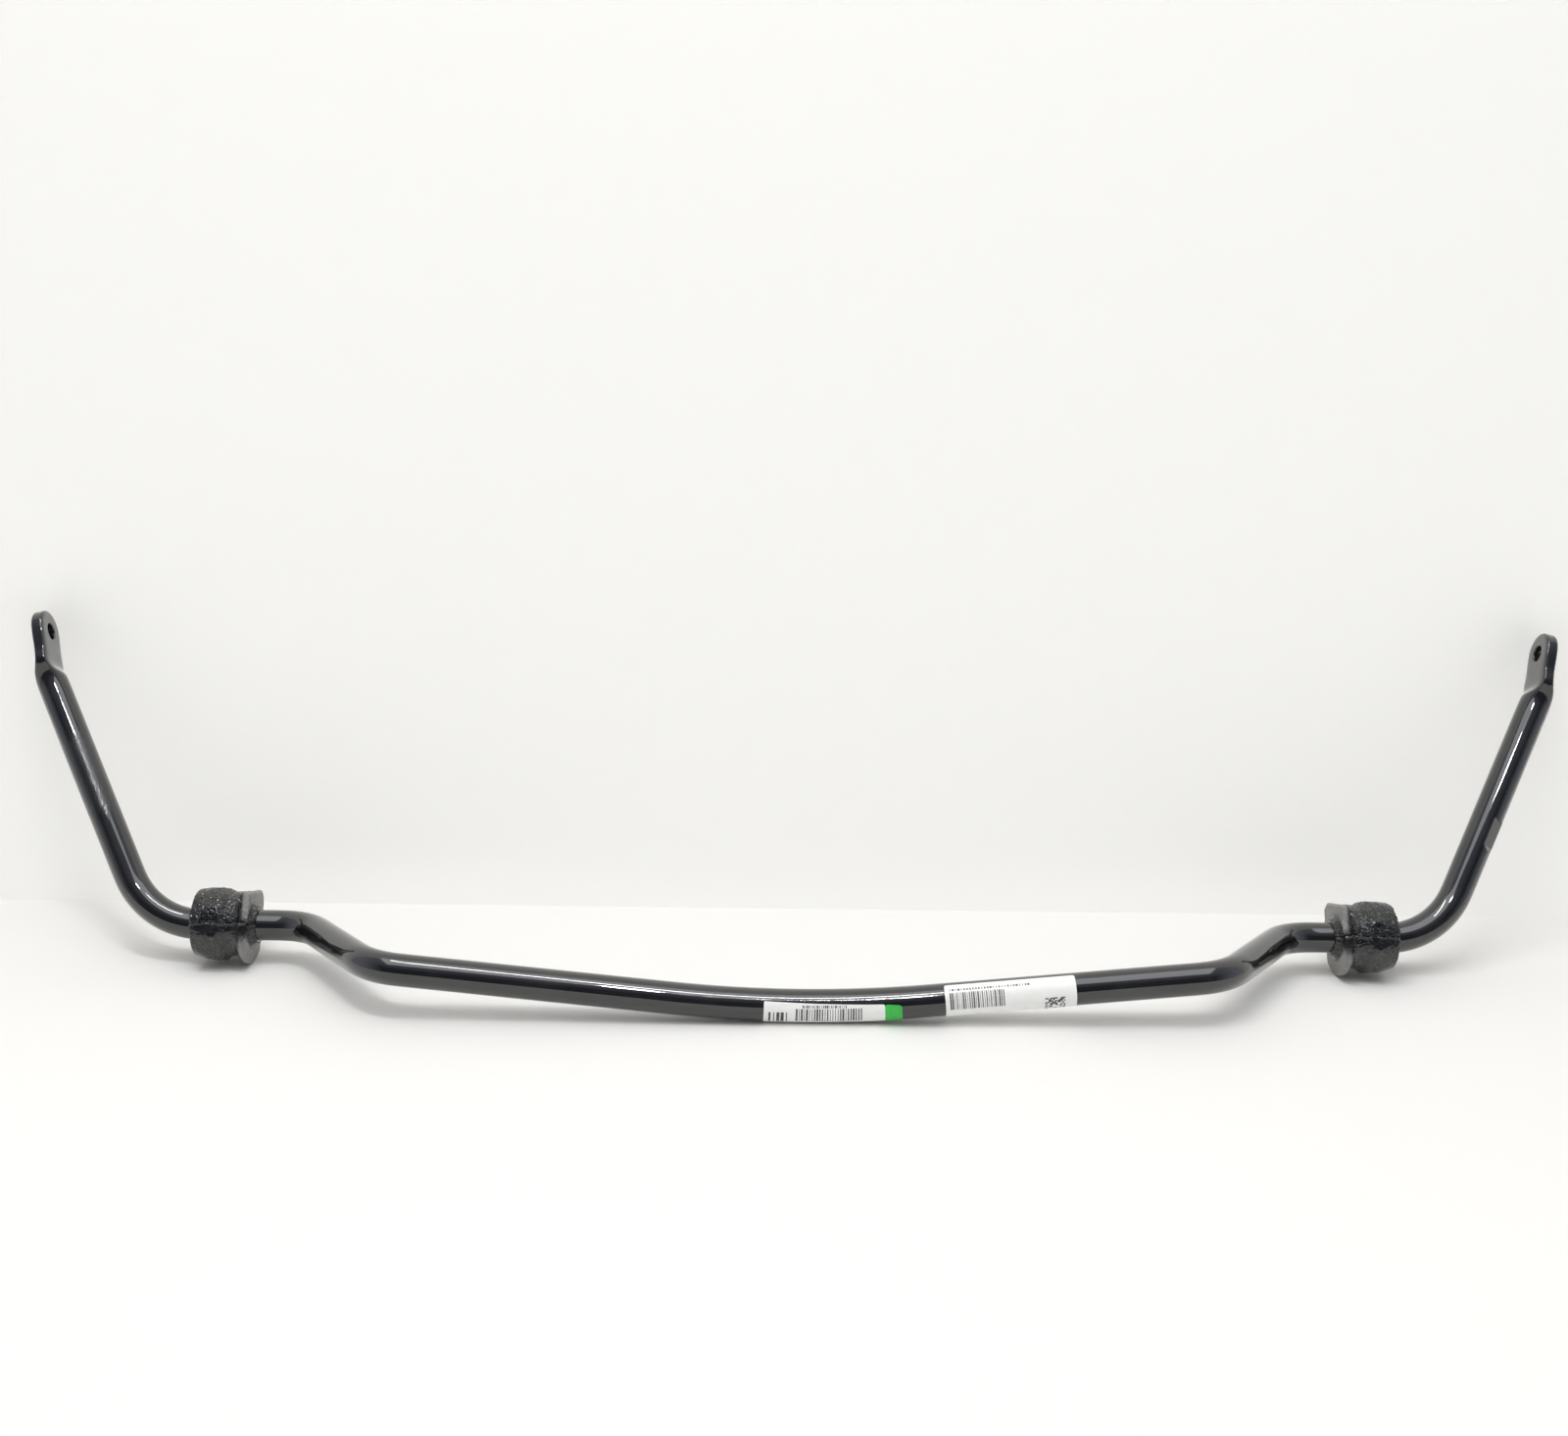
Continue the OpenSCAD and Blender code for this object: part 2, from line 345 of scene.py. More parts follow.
@dataclass(frozen=True)
class StudioBoard(Finish):
    """Pale board of the studio, which shows only from its front so that it hides nothing."""

    colour: tuple[float, ...] = (0.86, 0.855, 0.84, 1)
    glow: float = 0.0
    mottle: float = 0.985

    def wire(self, wiring: Wiring, shader: bpy.types.Node) -> None:
        """Feeds a dull board, see-through from its back."""
        paper = self.spread(wiring, self.grain(wiring, 0.6, 2.0), 0, 0.4)
        darker = tuple(self.mottle * c for c in self.colour[:3]) + (1,)
        wiring.feed(shader.inputs["Base Color"], self.blend(wiring, paper, self.colour, darker))
        wiring.feed(shader.inputs["Emission Color"], self.colour)
        shader.inputs["Emission Strength"].default_value = self.glow
        shader.inputs["Roughness"].default_value = 0.9
        shader.inputs["Specular IOR Level"].default_value = 0.0
        back = wiring.add("ShaderNodeNewGeometry").outputs["Backfacing"]
        clear = wiring.add("ShaderNodeBsdfTransparent")
        inputs = {0: back, 1: shader.outputs[0], 2: clear.outputs[0]}
        mixed = wiring.add("ShaderNodeMixShader", inputs)
        wiring.feed(wiring.tree.nodes["Material Output"].inputs["Surface"], mixed.outputs[0])


GLOSS_BLACK = PowderCoat("gloss_black_coating")
RUBBER = SprayedRubber("oversprayed_rubber")
PAINT_BEAD = PowderCoat("paint_beads", roughness=(0.06, 0.12), peel_height=0.03 * MM)
WHITE_STOCK = LabelStock("white_label_stock")
GREEN_FILM = LabelStock("green_tab_film", (0.045, 0.56, 0.075, 1), (0.04, 0.47, 0.065, 1), (0.3, 0.42))
INK = PrintInk("label_ink")


# ---------------------------------------------------------------------------------------------
# Meshes


def link_mesh(name: str, mesh: bpy.types.Mesh) -> bpy.types.Object:
    """Puts a mesh into the scene as an object at the origin."""
    made = bpy.data.objects.new(name, mesh)
    bpy.context.scene.collection.objects.link(made)
    return made


def grid_faces(rows: int, columns: int, first: int = 0) -> list[tuple[int, ...]]:
    """Quads of a grid of rows by columns vertices, numbered row by row from first."""
    return [
        (first + i * columns + j, first + i * columns + j + 1,
         first + (i + 1) * columns + j + 1, first + (i + 1) * columns + j)
        for i in range(rows - 1)
        for j in range(columns - 1)
    ]


def close_and_point_out(mesh: bpy.types.Mesh, merge: float, crease: float) -> None:
    """Merges doubled vertices, points the faces outwards and marks sharp edges.

    Args:
        mesh: The mesh, changed in place.
        merge: Vertices nearer than this become one.
        crease: Edges bent by more than this angle are shaded sharp.
    """
    work = bmesh.new()
    work.from_mesh(mesh)
    bmesh.ops.remove_doubles(work, verts=work.verts, dist=merge)
    bmesh.ops.dissolve_degenerate(work, edges=work.edges, dist=merge)
    bmesh.ops.recalc_face_normals(work, faces=work.faces)
    for face in work.faces:
        face.smooth = True
    for edge in work.edges:
        edge.smooth = len(edge.link_faces) != 2 or edge.calc_face_angle(0) < crease
    work.to_mesh(mesh)
    work.free()
    mesh.update()


def baked(source: bpy.types.Object) -> bpy.types.Mesh:
    """Turns an object with live modifiers into a plain mesh and removes the object."""
    shown = source.evaluated_get(bpy.context.evaluated_depsgraph_get())
    mesh = bpy.data.meshes.new_from_object(shown)
    source.modifiers.clear()
    bpy.data.objects.remove(source)
    return mesh


class GrowthTree:
    """A Geometry Nodes tree with named inputs, which is run once on an object."""

    def __init__(self, name: str) -> None:
        """Makes an empty tree with a geometry input, and its output."""
        self.tree = bpy.data.node_groups.new(name, "GeometryNodeTree")
        self.wiring = Wiring(self.tree)
        self.sockets: dict[str, str] = {}
        self.tree.interface.new_socket("Geometry", in_out="OUTPUT", socket_type="NodeSocketGeometry")
        self.tree.interface.new_socket("Geometry", in_out="INPUT", socket_type="NodeSocketGeometry")
        self.entry = self.tree.nodes.new("NodeGroupInput")

    def declare(self, name: str, kind: str) -> bpy.types.NodeSocket:
        """Adds a named input.

        Args:
            name: What the input is called.
            kind: Float, Int, Vector or Material.

        Returns:
            The socket that carries it inside the tree.
        """
        made = self.tree.interface.new_socket(name, in_out="INPUT", socket_type="NodeSocket" + kind)
        self.sockets[name] = made.identifier
        return self.entry.outputs[name]

    def declare_all(self, **kinds: str) -> list[bpy.types.NodeSocket]:
        """Adds several named inputs, in order, and gives their sockets."""
        return [self.declare(name, kind) for name, kind in kinds.items()]

    def close(self, geometry: bpy.types.NodeSocket, finish: bpy.types.NodeSocket) -> None:
        """Ends the tree in Realize Instances and Set Material."""
        real = self.wiring.add("GeometryNodeRealizeInstances", {"Geometry": geometry})
        smooth = self.wiring.add("GeometryNodeSetShadeSmooth", {"Geometry": real.outputs[0]})
        dressed = self.wiring.add(
            "GeometryNodeSetMaterial", {"Geometry": smooth.outputs[0], "Material": finish}
        )
        self.wiring.add("NodeGroupOutput", {"Geometry": dressed.outputs[0]})

    def run(self, source: bpy.types.Object, values: dict[str, object]) -> bpy.types.Mesh:
        """Runs the tree on an object.

        Args:
            source: The object that feeds the tree; it is used up.
            values: A value for every named input.

        Returns:
            The result as a plain mesh.
        """
        modifier = source.modifiers.new("growth", "NODES")
        modifier.node_group = self.tree
        for name, value in values.items():
            modifier[self.sockets[name]] = value
        return baked(source)


class SweepTree(GrowthTree):
    """Sweeps a ring along a line of vertices, turned so that it starts at the front."""

    def __init__(self) -> None:
        """Wires the sweep."""
        super().__init__("ring_sweep")
        sides, radius, finish = self.declare_all(Sides="Int", Radius="Float", Finish="Material")
        add = self.wiring.add
        front = add("GeometryNodeInputNamedAttribute", {"Name": "front"}, data_type="FLOAT_VECTOR")
        line = add("GeometryNodeMeshToCurve", {"Mesh": self.entry.outputs["Geometry"]})
        turned = add(
            "GeometryNodeSetCurveNormal",
            {"Curve": line.outputs[0], "Normal": front.outputs["Attribute"]}, mode="FREE",
        )
        ring = add("GeometryNodeCurvePrimitiveCircle", {"Resolution": sides, "Radius": radius})
        swept = add(
            "GeometryNodeCurveToMesh", {"Curve": turned.outputs[0], "Profile Curve": ring.outputs[0]}
        )
        self.close(swept.outputs[0], finish)


class WrappedPrintTree(GrowthTree):
    """Wraps flat marks round the bar: the common end of the two kinds of print."""

    def wrap(self, geometry: bpy.types.NodeSocket, radius: bpy.types.NodeSocket,
             bend: bpy.types.NodeSocket) -> bpy.types.NodeSocket:
        """Bends flat marks, x along the bar and y round it, on to the bar.

        Args:
            geometry: The flat marks.
            radius: Distance of the ink from the bar's axis.
            bend: Radius of the bar's own bend, upwards.

        Returns:
            The marks, with x along the bar, y to its back and z up.
        """
        calc = self.wiring.math
        place = self.wiring.add("GeometryNodeInputPosition").outputs[0]
        flat = self.wiring.add("ShaderNodeSeparateXYZ", {0: place}).outputs
        turn = calc("DIVIDE", flat[1], radius)
        front = calc("MULTIPLY", calc("COSINE", turn), radius)
        rise = calc("SUBTRACT", bend, calc("MULTIPLY", calc("SINE", turn), radius))
        swing = calc("DIVIDE", flat[0], bend)
        parts = {
            0: calc("MULTIPLY", calc("SINE", swing), rise),
            1: calc("MULTIPLY", front, -1.0),
            2: calc("SUBTRACT", bend, calc("MULTIPLY", calc("COSINE", swing), rise)),
        }
        spot = self.wiring.add("ShaderNodeCombineXYZ", parts).outputs[0]
        moved = self.wiring.add("GeometryNodeSetPosition", {"Geometry": geometry, "Position": spot})
        return moved.outputs[0]

    def chance(self, low: float, high: float, seed: object) -> bpy.types.NodeSocket:
        """A random number for each mark, with a fixed seed."""
        node = self.wiring.add("FunctionNodeRandomValue", {"Seed": seed}, data_type="FLOAT")
        node.inputs[2].default_value = low
        node.inputs[3].default_value = high
        return node.outputs[1]


class StripeTree(WrappedPrintTree):
    """Rows of upright stripes of three widths, wrapped round the bar."""

    def __init__(self) -> None:
        """Wires the stripes."""
        super().__init__("wrapped_stripes")
        count, pitch, height, corner, radius, bend, seed, finish = self.declare_all(
            Count="Int", Pitch="Float", Height="Float", Corner="Vector",
            Radius="Float", Bend="Float", Seed="Int", Finish="Material",
        )
        add, calc = self.wiring.add, self.wiring.math
        step = add("ShaderNodeCombineXYZ", {0: pitch}).outputs[0]
        row = add("GeometryNodeMeshLine", {"Count": count, "Start Location": corner, "Offset": step})
        sheet = {"Size X": 1.0, "Size Y": height, "Vertices X": 2, "Vertices Y": 12}
        bar = add("GeometryNodeMeshGrid", sheet)
        half = add("ShaderNodeCombineXYZ", {1: calc("MULTIPLY", height, 0.5)}).outputs[0]
        raised = add("GeometryNodeTransform", {"Geometry": bar.outputs[0], "Translation": half})
        share = calc("DIVIDE", calc("ROUND", self.chance(0.6, 3.4, seed)), 4.0)
        width = add("ShaderNodeCombineXYZ", {0: calc("MULTIPLY", share, pitch), 1: 1.0, 2: 1.0})
        marks = add(
            "GeometryNodeInstanceOnPoints",
            {"Points": row.outputs[0], "Instance": raised.outputs[0], "Scale": width.outputs[0]},
        )
        real = add("GeometryNodeRealizeInstances", {"Geometry": marks.outputs[0]})
        self.close(self.wrap(real.outputs[0], radius, bend), finish)


class DotTree(WrappedPrintTree):
    """A square block of small square dots, about half of them left out."""

    left_out = 0.45

    def __init__(self) -> None:
        """Wires the dots."""
        super().__init__("wrapped_dots")
        count, size, centre, radius, bend, seed, finish = self.declare_all(
            Count="Int", Size="Float", Centre="Vector", Radius="Float",
            Bend="Float", Seed="Int", Finish="Material",
        )
        add, calc = self.wiring.add, self.wiring.math
        grid = {"Size X": size, "Size Y": size, "Vertices X": count, "Vertices Y": count}
        field_of_dots = add("GeometryNodeMeshGrid", grid).outputs[0]
        placed = add("GeometryNodeTransform", {"Geometry": field_of_dots, "Translation": centre})
        kept = calc("GREATER_THAN", self.chance(0.0, 1.0, seed), self.left_out)
        pitch = calc("DIVIDE", size, calc("SUBTRACT", count, 1.0))
        square = {"Size X": pitch, "Size Y": pitch, "Vertices X": 2, "Vertices Y": 2}
        dot = add("GeometryNodeMeshGrid", square)
        marks = add(
            "GeometryNodeInstanceOnPoints",
            {"Points": placed.outputs[0], "Selection": kept, "Instance": dot.outputs[0]},
        )
        real = add("GeometryNodeRealizeInstances", {"Geometry": marks.outputs[0]})
        self.close(self.wrap(real.outputs[0], radius, bend), finish)


class BeadTree(GrowthTree):
    """Drops of paint in a ragged ring, as they gather where a bush meets the bar."""

    def __init__(self) -> None:
        """Wires the ring of drops."""
        super().__init__("paint_bead_ring")
        count, radius, smallest, largest, stray, seed, finish = self.declare_all(
            Count="Int", Radius="Float", Smallest="Vector", Largest="Vector",
            Stray="Vector", Seed="Int", Finish="Material",
        )
        add = self.wiring.add
        ring = add("GeometryNodeMeshCircle", {"Vertices": count, "Radius": radius}).outputs[0]
        back = add("ShaderNodeVectorMath", {0: stray, 1: (-1, -1, -1)}, operation="MULTIPLY")
        wander = self.chance(back.outputs[0], stray, seed)
        strewn = add("GeometryNodeSetPosition", {"Geometry": ring, "Offset": wander})
        drop = add("GeometryNodeMeshIcoSphere", {"Radius": 1.0, "Subdivisions": 3})
        marks = add(
            "GeometryNodeInstanceOnPoints",
            {"Points": strewn.outputs[0], "Instance": drop.outputs[0],
             "Scale": self.chance(smallest, largest, seed)},
        )
        self.close(marks.outputs[0], finish)

    def chance(self, low: object, high: object, seed: object) -> bpy.types.NodeSocket:
        """A random vector for each drop, with a fixed seed."""
        node = self.wiring.add("FunctionNodeRandomValue", data_type="FLOAT_VECTOR")
        self.wiring.feed(node.inputs[0], low)
        self.wiring.feed(node.inputs[1], high)
        self.wiring.feed(node.inputs["Seed"], seed)
        return node.outputs[0]


# ---------------------------------------------------------------------------------------------
# The bar's centre line


@dataclass(frozen=True)
class Stretch:
    """One straight or one round stretch of a centre line."""

    start: Vector
    travel: Vector
    length: float
    centre: Vector | None = None
    axis: Vector | None = None

    def at(self, distance: float) -> tuple[Vector, Vector]:
        """The point and the direction of travel at a distance along the stretch."""
        if self.centre is None:
            return self.start + distance * self.travel, self.travel.copy()
        spoke = self.start - self.centre
        turn = Matrix.Rotation(distance / spoke.length, 3, self.axis)
        return self.centre + turn @ spoke, turn @ self.travel


@dataclass(frozen=True)
class BarLine:
    """The bar's centre line: a gentle arc, a leg, a step, a journal and an arm on each side."""

    middle_y: float
    bar_r: float = 12.5 * MM
    middle_r: float = 1000 * MM
    leg_x: float = 325 * MM
    leg_z: float = 40 * MM
    step_r: float = 42 * MM
    journal_in_x: float = 400 * MM
    journal_out_x: float = 528 * MM
    journal_rise: float = 31.5 * MM
    journal_back: float = 100 * MM
    arm_r: float = 68 * MM
    eye: tuple[float, float, float] = (632.5 * MM, 202 * MM, 250 * MM)
    eye_foot: float = 24 * MM
    eye_splay: float = math.radians(12)
    arm_offset: float = 4 * MM
    forging_l: float = 30 * MM

    @property
    def lean(self) -> float:
        """Angle of the arms from upright, towards the back."""
        return math.atan2(self.eye[1] - self.journal_back, self.eye[2] - self.journal_rise)

    @property
    def eye_rise(self) -> Vector:
        """Direction of the arms' lean, seen from the side."""
        return Vector((0, math.sin(self.lean), math.cos(self.lean)))

    @property
    def eye_up(self) -> Vector:
        """Direction up the right eye plate."""
        return math.cos(self.eye_splay) * self.eye_rise + math.sin(self.eye_splay) * Vector((1, 0, 0))

    @property
    def eye_out(self) -> Vector:
        """Direction through the right eye's hole, outboard."""
        return math.cos(self.eye_splay) * Vector((1, 0, 0)) - math.sin(self.eye_splay) * self.eye_rise

    @property
    def eye_front(self) -> Vector:
        """Direction that an eye plate's front edge faces."""
        return Vector((0, -math.cos(self.lean), math.sin(self.lean)))

    @property
    def eye_centre(self) -> Vector:
        """Middle of the right eye's hole."""
        return Vector((self.eye[0], self.eye[1] + self.middle_y, self.eye[2]))

    @property
    def arm_top(self) -> Vector:
        """Where the right arm's axis meets its eye plate."""
        return self.eye_centre - self.eye_foot * self.eye_up + self.arm_offset * self.eye_out

    @property
    def arm_foot(self) -> Vector:
        """Corner of the centre line where the right arm leaves the journal."""
        return Vector((self.journal_out_x, self.journal_back + self.middle_y, self.journal_rise))

    @property
    def arm_travel(self) -> Vector:
        """Direction up the right arm."""
        return (self.arm_top - self.arm_foot).normalized()

    def stretches(self) -> list[Stretch]:
        """The right half of the line, from the middle to where the forged eye starts."""
        top = self.bar_r + self.middle_r
        far = math.hypot(self.leg_x, top - self.leg_z)
        slope = math.atan2(self.leg_x, top - self.leg_z) - math.acos(self.middle_r / far)
        middle = Stretch(
            Vector((0, self.middle_y, self.bar_r)), Vector((1, 0, 0)), self.middle_r * slope,
            Vector((0, self.middle_y, top)), Vector((0, -1, 0)),
        )
        back = self.journal_back + self.middle_y
        corners = [
            Vector((self.leg_x, self.middle_y, self.leg_z)),
            Vector((self.journal_in_x, back, self.journal_rise)),
            self.arm_foot,
            self.arm_top,
        ]
        made = [middle]
        here, _ = middle.at(middle.length)
        for corner, beyond, radius in zip(corners, corners[1:], (self.step_r, self.step_r, self.arm_r)):
            travel, onward = (corner - here).normalized(), (beyond - corner).normalized()
            angle = travel.angle(onward)
            setback = radius * math.tan(angle / 2)
            made.append(Stretch(here, travel, (corner - here).length - setback))
            start = corner - setback * travel
            axis = travel.cross(onward).normalized()
            centre = start + radius * axis.cross(travel)
            made.append(Stretch(start, travel, radius * angle, centre, axis))
            here = corner + setback * onward
        rest = corners[-1] - here
        made.append(Stretch(here, rest.normalized(), rest.length - self.forging_l))
        return made

    @property
    def reach(self) -> float:
        """Length of the line from the middle to a forged eye."""
        return sum(s.length for s in self.stretches())

    def at(self, distance: float) -> tuple[Vector, Vector]:
        """The point and the direction of travel towards +X; the left half is at minus distances."""
        left = float(abs(distance))
        for stretch in self.stretches():
            if left <= stretch.length:
                break
            left -= stretch.length
        else:
            left += stretch.length
        point, travel = stretch.at(left)
        if distance < 0:
            point.x = -point.x
            travel.y, travel.z = -travel.y, -travel.z
        return point, travel

    def front_at(self, distance: float) -> Vector:
        """The direction square to the bar that faces the front, or an eye's front on the arms."""
        point, travel = self.at(distance)
        share = float(smoothstep(self.journal_in_x, self.journal_out_x, abs(point.x)))
        front = (1 - share) * Vector((0, -1, 0)) + share * self.eye_front
        return (front - front.dot(travel) * travel).normalized()

    def distance_at(self, x: float) -> float:
        """The distance along the line of the place at x, in the middle part of the bar."""
        low, high = -self.leg_x, self.leg_x
        for _ in range(48):
            middle = (low + high) / 2
            low, high = (middle, high) if self.at(middle)[0].x < x else (low, middle)
        return (low + high) / 2

    def skin(self, distance: float, angle: float, height: float) -> Vector:
        """A point on or over the bar's surface in its middle part.

        Args:
            distance: Distance along the line.
            angle: Angle up from the front, in radians.
            height: Height over the surface.

        Returns:
            The point in the row frame.
        """
        point, travel = self.at(distance)
        front = Vector((0, -1, 0))
        up = front.cross(travel)
        spoke = math.cos(angle) * front + math.sin(angle) * up
        return point + (self.bar_r + height) * spoke


# ---------------------------------------------------------------------------------------------
# The forged bar


@dataclass(frozen=True)
class EyeStation:
    """One ring of the cage that turns the round bar into the flat eye plate.

    across and up place its middle from the hole, outboard and up the plate; half_width and
    half_depth are its reach to the front and outboard; squareness goes from 0, round, to 1;
    turn is the share of the way from square to the arm to square to the plate.
    """

    across: float
    up: float
    half_width: float
    half_depth: float
    squareness: float
    turn: float


@dataclass(frozen=True)
class ForgedEye:
    """The flattened eye at the end of an arm."""

    width: float = 36 * MM
    thickness: float = 10 * MM
    hole_r: float = 6.75 * MM
    hole_edge: float = 0.7 * MM
    side_foot: float = -8.5 * MM
    face_ring_r: float = 12.5 * MM
    shoulder: tuple[EyeStation, ...] = (
        EyeStation(-1.1 * MM, -45.3 * MM, 12.7 * MM, 12.4 * MM, 0.05, 0.0),
        EyeStation(-0.1 * MM, -40.8 * MM, 13.4 * MM, 11.9 * MM, 0.12, 0.0),
        EyeStation(0.7 * MM, -37.5 * MM, 14.6 * MM, 10.6 * MM, 0.3, 0.3),
        EyeStation(0.9 * MM, -34.6 * MM, 16.2 * MM, 8.6 * MM, 0.55, 0.6),
        EyeStation(0.6 * MM, -31.6 * MM, 17.8 * MM, 6.6 * MM, 0.8, 0.9),
        EyeStation(0.2 * MM, -28.8 * MM, 18.8 * MM, 5.4 * MM, 1.0, 1.0),
        EyeStation(0.0, -26.0 * MM, 19.2 * MM, 5.0 * MM, 1.0, 1.0),
        EyeStation(0.0, -22.5 * MM, 18.8 * MM, 5.0 * MM, 1.0, 1.0),
        EyeStation(0.0, -18.0 * MM, 18.0 * MM, 5.0 * MM, 1.0, 1.0),
    )

    @staticmethod
    def rounded(angle: float, squareness: float) -> tuple[float, float]:
        """A point on a unit ring that is between a circle and a square."""
        c, s = math.cos(angle), math.sin(angle)
        widest = max(abs(c), abs(s))
        share = squareness / widest + (1 - squareness) / CAGE_SHRINK
        return c * share, s * share

    def ring(self, line: BarLine, side: Side, station: EyeStation) -> list[Vector]:
        """The vertices of one station, from the front edge round by the outboard face."""
        arm, up, out = line.arm_travel, line.eye_up, line.eye_out
        arm_out = (arm.dot(up) * out - arm.dot(out) * up).normalized()
        depth_way = arm_out.lerp(out, station.turn).normalized()
        centre = line.eye_centre + station.up * up + station.across * out
        points = []
        for k in range(CAGE_SIDES):
            wide, deep = self.rounded(math.tau * k / CAGE_SIDES, station.squareness)
            point = centre + wide * station.half_width * line.eye_front
            point += deep * station.half_depth * depth_way
            point.x *= side.value
            points.append(point)
        return points

    def outline(self, k: int) -> tuple[float, float]:
        """Point k of the plate's outline round the hole, as front and up from the hole."""
        angle = math.tau * k / CAGE_SIDES
        half = self.width / 2
        if 0 < k < CAGE_SIDES // 2:
            return half / CAGE_SHRINK * math.cos(angle), half / CAGE_SHRINK * math.sin(angle)
        if k in (0, CAGE_SIDES // 2):
            return half * math.cos(angle), 0.0
        return math.copysign(half, math.cos(angle)), self.side_foot

    def grow(self, work: bmesh.types.BMesh, line: BarLine, side: Side,
             end_ring: list[bmesh.types.BMVert]) -> None:
        """Adds the eye to the cage.

        Args:
            work: The bar's cage.
            line: The bar's centre line.
            side: Which end it is.
            end_ring: The sweep's last ring, ordered from the front round by the outboard face.
        """
        quarter = CAGE_SIDES // 4
        eighth = CAGE_SIDES // 8
        below = end_ring
        for station in self.shoulder:
            ring = [work.verts.new(p) for p in self.ring(line, side, station)]
            self.bridge(work, below, ring, True)
            below = ring
        rows = [below[k % CAGE_SIDES] for k in range(-eighth, eighth + 1)]
        depths = [self.rounded(math.tau * k / CAGE_SIDES, 1.0)[1] * self.thickness / 2
                  for k in range(-eighth, eighth + 1)]
        rim = {-eighth: rows}
        for k in range(1 - eighth, CAGE_SIDES // 2 + eighth):
            wide, high = self.outline(k)
            rim[k] = [work.verts.new(self.place(line, side, wide, high, deep)) for deep in depths]
        last = CAGE_SIDES // 2 + eighth
        rim[last] = [below[k] for k in range(last, last - 2 * eighth - 1, -1)]
        for k in range(-eighth, last):
            self.bridge(work, rim[k], rim[k + 1], False)
        walls = []
        for face, row in ((1, 2 * eighth), (-1, 0)):
            edge = [rim[k][row] for k in range(0, last + 1)]
            feet = range(quarter + eighth - 1, quarter - eighth, -1)
            edge += [below[(face * k) % CAGE_SIDES] for k in feet]
            edge += [rim[k][row] for k in range(-eighth, 0)]
            edge = edge[:CAGE_SIDES]
            walls.append(self.holed_face(work, line, side, face, edge))
        self.bridge(work, walls[0], walls[1], True)

    def holed_face(self, work: bmesh.types.BMesh, line: BarLine, side: Side, face: int,
                   edge: list[bmesh.types.BMVert]) -> list[bmesh.types.BMVert]:
        """Fills one face of the plate round its hole, and gives the ring inside the hole."""
        half = self.thickness / 2
        hole = self.hole_r / CAGE_SHRINK
        rings = [edge]
        for radius, depth in (
            (self.face_ring_r, half), (hole + 2 * self.hole_edge, half), (hole + self.hole_edge, half),
            (hole, half - self.hole_edge), (hole, half - 2.5 * self.hole_edge),
        ):
            ring = []
            for k in range(CAGE_SIDES):
                angle = math.tau * k / CAGE_SIDES
                wide, high = radius * math.cos(angle), radius * math.sin(angle)
                ring.append(work.verts.new(self.place(line, side, wide, high, face * depth)))
            rings.append(ring)
        for outer, inner in zip(rings, rings[1:]):
            self.bridge(work, outer, inner, True)
        return rings[-1]

    @staticmethod
    def place(line: BarLine, side: Side, wide: float, high: float, deep: float) -> Vector:
        """A point of the plate, from its distances to the front, up and outboard of the hole."""
        spot = line.eye_centre + wide * line.eye_front + high * line.eye_up + deep * line.eye_out
        spot.x *= side.value
        return spot

    @staticmethod
    def bridge(work: bmesh.types.BMesh, first: list[bmesh.types.BMVert],
               second: list[bmesh.types.BMVert], closed: bool) -> None:
        """Joins two rows of vertices with quads."""
        count = len(first)
        for k in range(count if closed else count - 1):
            after = (k + 1) % count
            work.faces.new((first[k], first[after], second[after], second[k]))


@dataclass(frozen=True)
class ArmFlat:
    """The flat pressed into the front of the right arm, turned outboard."""

    start: float = 82 * MM
    length: float = 29 * MM
    depth: float = 1.7 * MM
    ramp: float = 6 * MM
    turn: float = math.radians(35)

    def press(self, places: np.ndarray, line: BarLine) -> np.ndarray:
        """Moves the points over the flat's floor down on to it.

        Args:
            places: Points of the bar, one per row.
            line: The bar's centre line.

        Returns:
            The points, changed in place.
        """
        travel = np.array(line.arm_travel)
        outward = line.arm_travel.cross(line.eye_front)
        facing = np.array(math.cos(self.turn) * line.eye_front + math.sin(self.turn) * outward)
        offset = places - np.array(line.arm_foot)
        along = offset @ travel - self.start
        out = offset @ facing
        floor = line.bar_r - self.depth * smoothstep(0, self.ramp, along)
        over = (along > 0) & (along < self.length) & (out > floor) & (places[:, 0] > 0)
        places[over] -= np.outer((out - floor)[over], facing)
        return places


